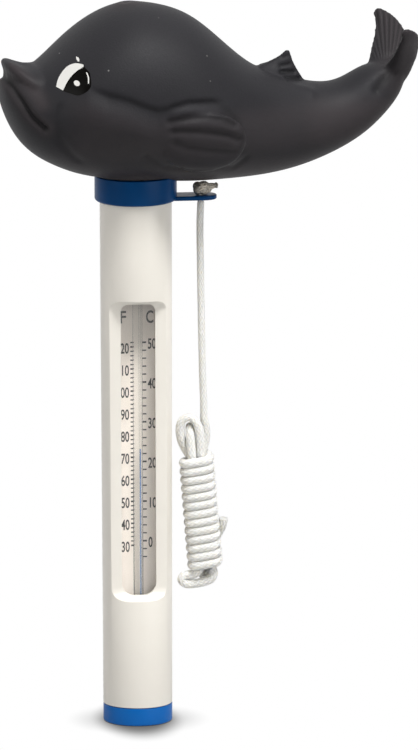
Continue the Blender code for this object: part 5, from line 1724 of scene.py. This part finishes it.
@dataclass
class ScalePrint:
    """The printed figures and ticks of both temperature scales on the card."""

    card_front: float = 0.427 * MM
    off_card: float = 0.03 * MM
    film: float = 0.02 * MM
    zero_height: float = 64.0 * MM
    degree: float = 1.42 * MM
    left_ticks: Spot = (-2.14 * MM, -0.4 * MM)
    right_ticks: Spot = (1.75 * MM, 3.44 * MM)
    fine_line: float = 0.46 * MM
    bold_line: float = 0.62 * MM
    figure_height: float = 3.5 * MM
    figure_pitch: float = 1.5 * MM
    figure_width: float = 1.32 * MM
    figure_drop: float = 0.5 * MM
    left_figures: float = -2.6 * MM
    right_figures: float = 3.95 * MM
    unit_height: float = 144.1 * MM
    unit_size: float = 4.2 * MM
    unit_width: float = 2.4 * MM
    round_unit_width: float = 1.75 * MM
    left_unit: float = -4.75 * MM
    right_unit: float = 4.75 * MM
    font_cap: float = 0.682
    font_width: float = 0.44

    def build(self) -> None:
        """Print the ticks and the figures."""
        ticks = bmesh.new()
        for fahrenheit in range(30, 123, 2):
            self.tick(ticks, self.left_ticks, (fahrenheit - 32) / 1.8, fahrenheit % 10 == 0)
        for celsius in range(-4, 51, 2):
            self.tick(ticks, self.right_ticks, celsius, celsius % 10 == 0)
        install(new_object("scale_ticks", ticks, PRINT_INK), Body.CASE, PRINT_INK)

        figures = bmesh.new()
        for fahrenheit in range(30, 121, 10):
            word = str(fahrenheit)
            start = self.left_figures - self.figure_pitch * len(word)
            self.number(figures, word, start, (fahrenheit - 32) / 1.8)
        for celsius in range(0, 51, 10):
            self.number(figures, str(celsius), self.right_figures, celsius)
        self.letter(figures, "F", (self.left_unit, self.unit_height), (self.unit_width, self.unit_size))
        self.letter(figures, "C", (self.right_unit, self.unit_height), (self.round_unit_width, self.unit_size))
        install(new_object("scale_figures", figures, PRINT_INK), Body.CASE, PRINT_INK)

    def height_of(self, celsius: float) -> float:
        """Return the height at which a temperature is printed."""
        return self.zero_height + self.degree * celsius

    def tick(self, bm: bmesh.types.BMesh, span: Spot, celsius: float, bold: bool) -> None:
        """Print one tick.

        Args:
            bm: The ticks' mesh.
            span: Where the tick starts and ends across the card.
            celsius: Its temperature.
            bold: Whether it is a heavy one.
        """
        line = self.bold_line if bold else self.fine_line
        middle = Vector(((span[0] + span[1]) / 2, self.card_front - self.off_card, self.height_of(celsius)))
        size = Matrix.Diagonal((span[1] - span[0], self.film, line, 1.0))
        bmesh.ops.create_cube(bm, size=1.0, matrix=Matrix.Translation(middle) @ size)

    def number(self, bm: bmesh.types.BMesh, word: str, start: float, celsius: float) -> None:
        """Print a number from its left end.

        Args:
            bm: The figures' mesh.
            word: The number's figures.
            start: Its left end.
            celsius: The temperature it stands beside.
        """
        height = self.height_of(celsius) - self.figure_drop
        for index, figure in enumerate(word):
            middle = start + self.figure_pitch * (index + 0.5)
            self.letter(bm, figure, (middle, height), (self.figure_width, self.figure_height))

    def letter(self, bm: bmesh.types.BMesh, sign: str, centre: Spot, size: Spot) -> None:
        """Print one narrow sign.

        Args:
            bm: The figures' mesh.
            sign: The figure or letter.
            centre: Its middle across and up.
            size: Its width and height.
        """
        curve = bpy.data.curves.new("sign", "FONT")
        curve.body = sign
        curve.align_x = "CENTER"
        curve.offset = 0.018
        curve.extrude = self.film / 2
        drawn = bpy.data.objects.new("sign", curve)
        bpy.context.scene.collection.objects.link(drawn)
        bpy.context.view_layer.update()
        mesh = bpy.data.meshes.new_from_object(drawn.evaluated_get(bpy.context.evaluated_depsgraph_get()))
        bpy.data.objects.remove(drawn, do_unlink=True)
        bpy.data.curves.remove(curve)
        scale = Matrix.Diagonal((size[0] / self.font_width, size[1] / self.font_cap, 1.0, 1.0))
        place = Matrix.Translation((centre[0], self.card_front - self.off_card, centre[1] - size[1] / 2))
        mesh.transform(place @ Matrix.Rotation(QUARTER, 4, "X") @ scale)
        bm.from_mesh(mesh)
        bpy.data.meshes.remove(mesh)


@dataclass
class SpiritStem:
    """The glass stem with its bulb and the spirit thread that climbs in its bore."""

    centre: Spot = (0.25 * MM, -1.573 * MM)
    bore_x: float = 0.97 * MM
    stem_radius: float = 1.7 * MM
    stem_top: float = 160.0 * MM
    bore_radius: float = 0.36 * MM
    thread_radius: float = 0.22 * MM
    thread_bottom: float = 31.9 * MM
    thread_top: float = 97.2 * MM
    bulb_radius: float = 2.7 * MM
    bulb_bottom: float = 24.5 * MM
    bulb_top: float = 32.5 * MM
    bulb_wall: float = 0.6 * MM
    rings: int = 48

    def build(self) -> None:
        """Draw the glass, hollow it out and fill the bore."""
        shoulder = self.bulb_top - self.bulb_radius
        heel = self.bulb_bottom + self.bulb_radius
        neck = math.acos(self.stem_radius / self.bulb_radius)
        tip = 0.5 * MM
        profile = [(0.0, self.stem_top)]
        profile += arc((self.stem_radius - tip, self.stem_top - tip), tip, QUARTER, 0.0, 5)
        profile += arc((0.0, shoulder), self.bulb_radius, neck, 0.0, 10)
        profile += arc((0.0, heel), self.bulb_radius, 0.0, -QUARTER, 14)[:-1]
        profile.append((0.0, self.bulb_bottom))
        stem = new_object("drawn_stem", turned(profile, 64, self.centre), STEM_GLASS)
        room_radius = self.bulb_radius - self.bulb_wall
        room_profile = [(0.0, shoulder + room_radius)]
        room_profile += arc((0.0, shoulder), room_radius, QUARTER, 0.0, 10)[1:]
        room_profile += arc((0.0, heel), room_radius, 0.0, -QUARTER, 10)[:-1]
        room_profile.append((0.0, heel - room_radius))
        room = new_object("bulb_room", turned(room_profile, 48, self.centre), STEM_GLASS)
        bore_top = self.stem_top - 2 * MM
        bore_profile = [(0.0, heel), (self.bore_radius, heel), (self.bore_radius, bore_top), (0.0, bore_top)]
        bore = new_object("bore", turned(bore_profile, 24, (self.bore_x, self.centre[1])), STEM_GLASS)
        combine(stem, Cut.REMOVE, room, bore)
        stem.data.shade_smooth()
        stem.data.set_sharp_from_angle(angle=math.radians(50))
        install(stem, Body.CASE, STEM_GLASS, "glass_stem")

        step = (self.thread_top - self.thread_bottom) / self.rings
        thread_profile = [(0.0, self.thread_bottom)]
        thread_profile += [(self.thread_radius, self.thread_bottom + step * index) for index in range(self.rings)]
        thread_profile += arc((0.0, self.thread_top - self.thread_radius / 2), self.thread_radius, 0.0, QUARTER, 6)[:-1]
        thread_profile.append((0.0, self.thread_top + self.thread_radius / 2))
        thread = new_object("spirit_thread", turned(thread_profile, 20, (self.bore_x, self.centre[1])), SPIRIT)
        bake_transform(thread)
        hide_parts("spirit_column")
        log.info("spirit_thread: %d faces between case and spirit", len(thread.data.polygons))


@dataclass
class PackedPieces:
    """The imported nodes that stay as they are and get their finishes."""

    finishes: tuple[tuple[str, Finish], ...] = (
        ("window_lens", LENS_PLASTIC),
        ("window_gasket", GASKET_RUBBER),
        ("collar_seal_ring", GASKET_RUBBER),
        ("bottom_cap_seal", GASKET_RUBBER),
        ("scale_card", CARD_PAPER),
        ("card_carrier", GREY_PLASTIC),
        ("spirit_reservoir", SPIRIT),
        ("upper_stem_clip", SPRING_STEEL),
        ("lower_stem_clip", SPRING_STEEL),
        ("upper_cushion", GREY_FOAM),
        ("bulb_cushion", GREY_FOAM),
        ("ballast_pad", GREY_FOAM),
        ("ballast_weight", BALLAST_IRON),
    )

    def build(self, frame: dict) -> None:
        """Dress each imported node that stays.

        Args:
            frame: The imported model.
        """
        for name, finish in self.finishes:
            node = frame["nodes"][name]
            if not node.material_slots:
                node.data.materials.append(finish.material())
            for slot in node.material_slots:
                slot.material = finish.material()
            log.info("%s: packed shape in %s", name, finish.name)


def main() -> None:
    """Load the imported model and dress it, piece by piece."""
    logging.basicConfig(level=logging.INFO, format="%(message)s")
    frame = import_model()
    Studio().build()
    Tether().build(frame)
    CaseTube().build()
    EyeletCollar().build()
    ScalePrint().build()
    SpiritStem().build()
    PackedPieces().build(frame)
    WhaleFloat().build()


if __name__ == "__main__":
    main()
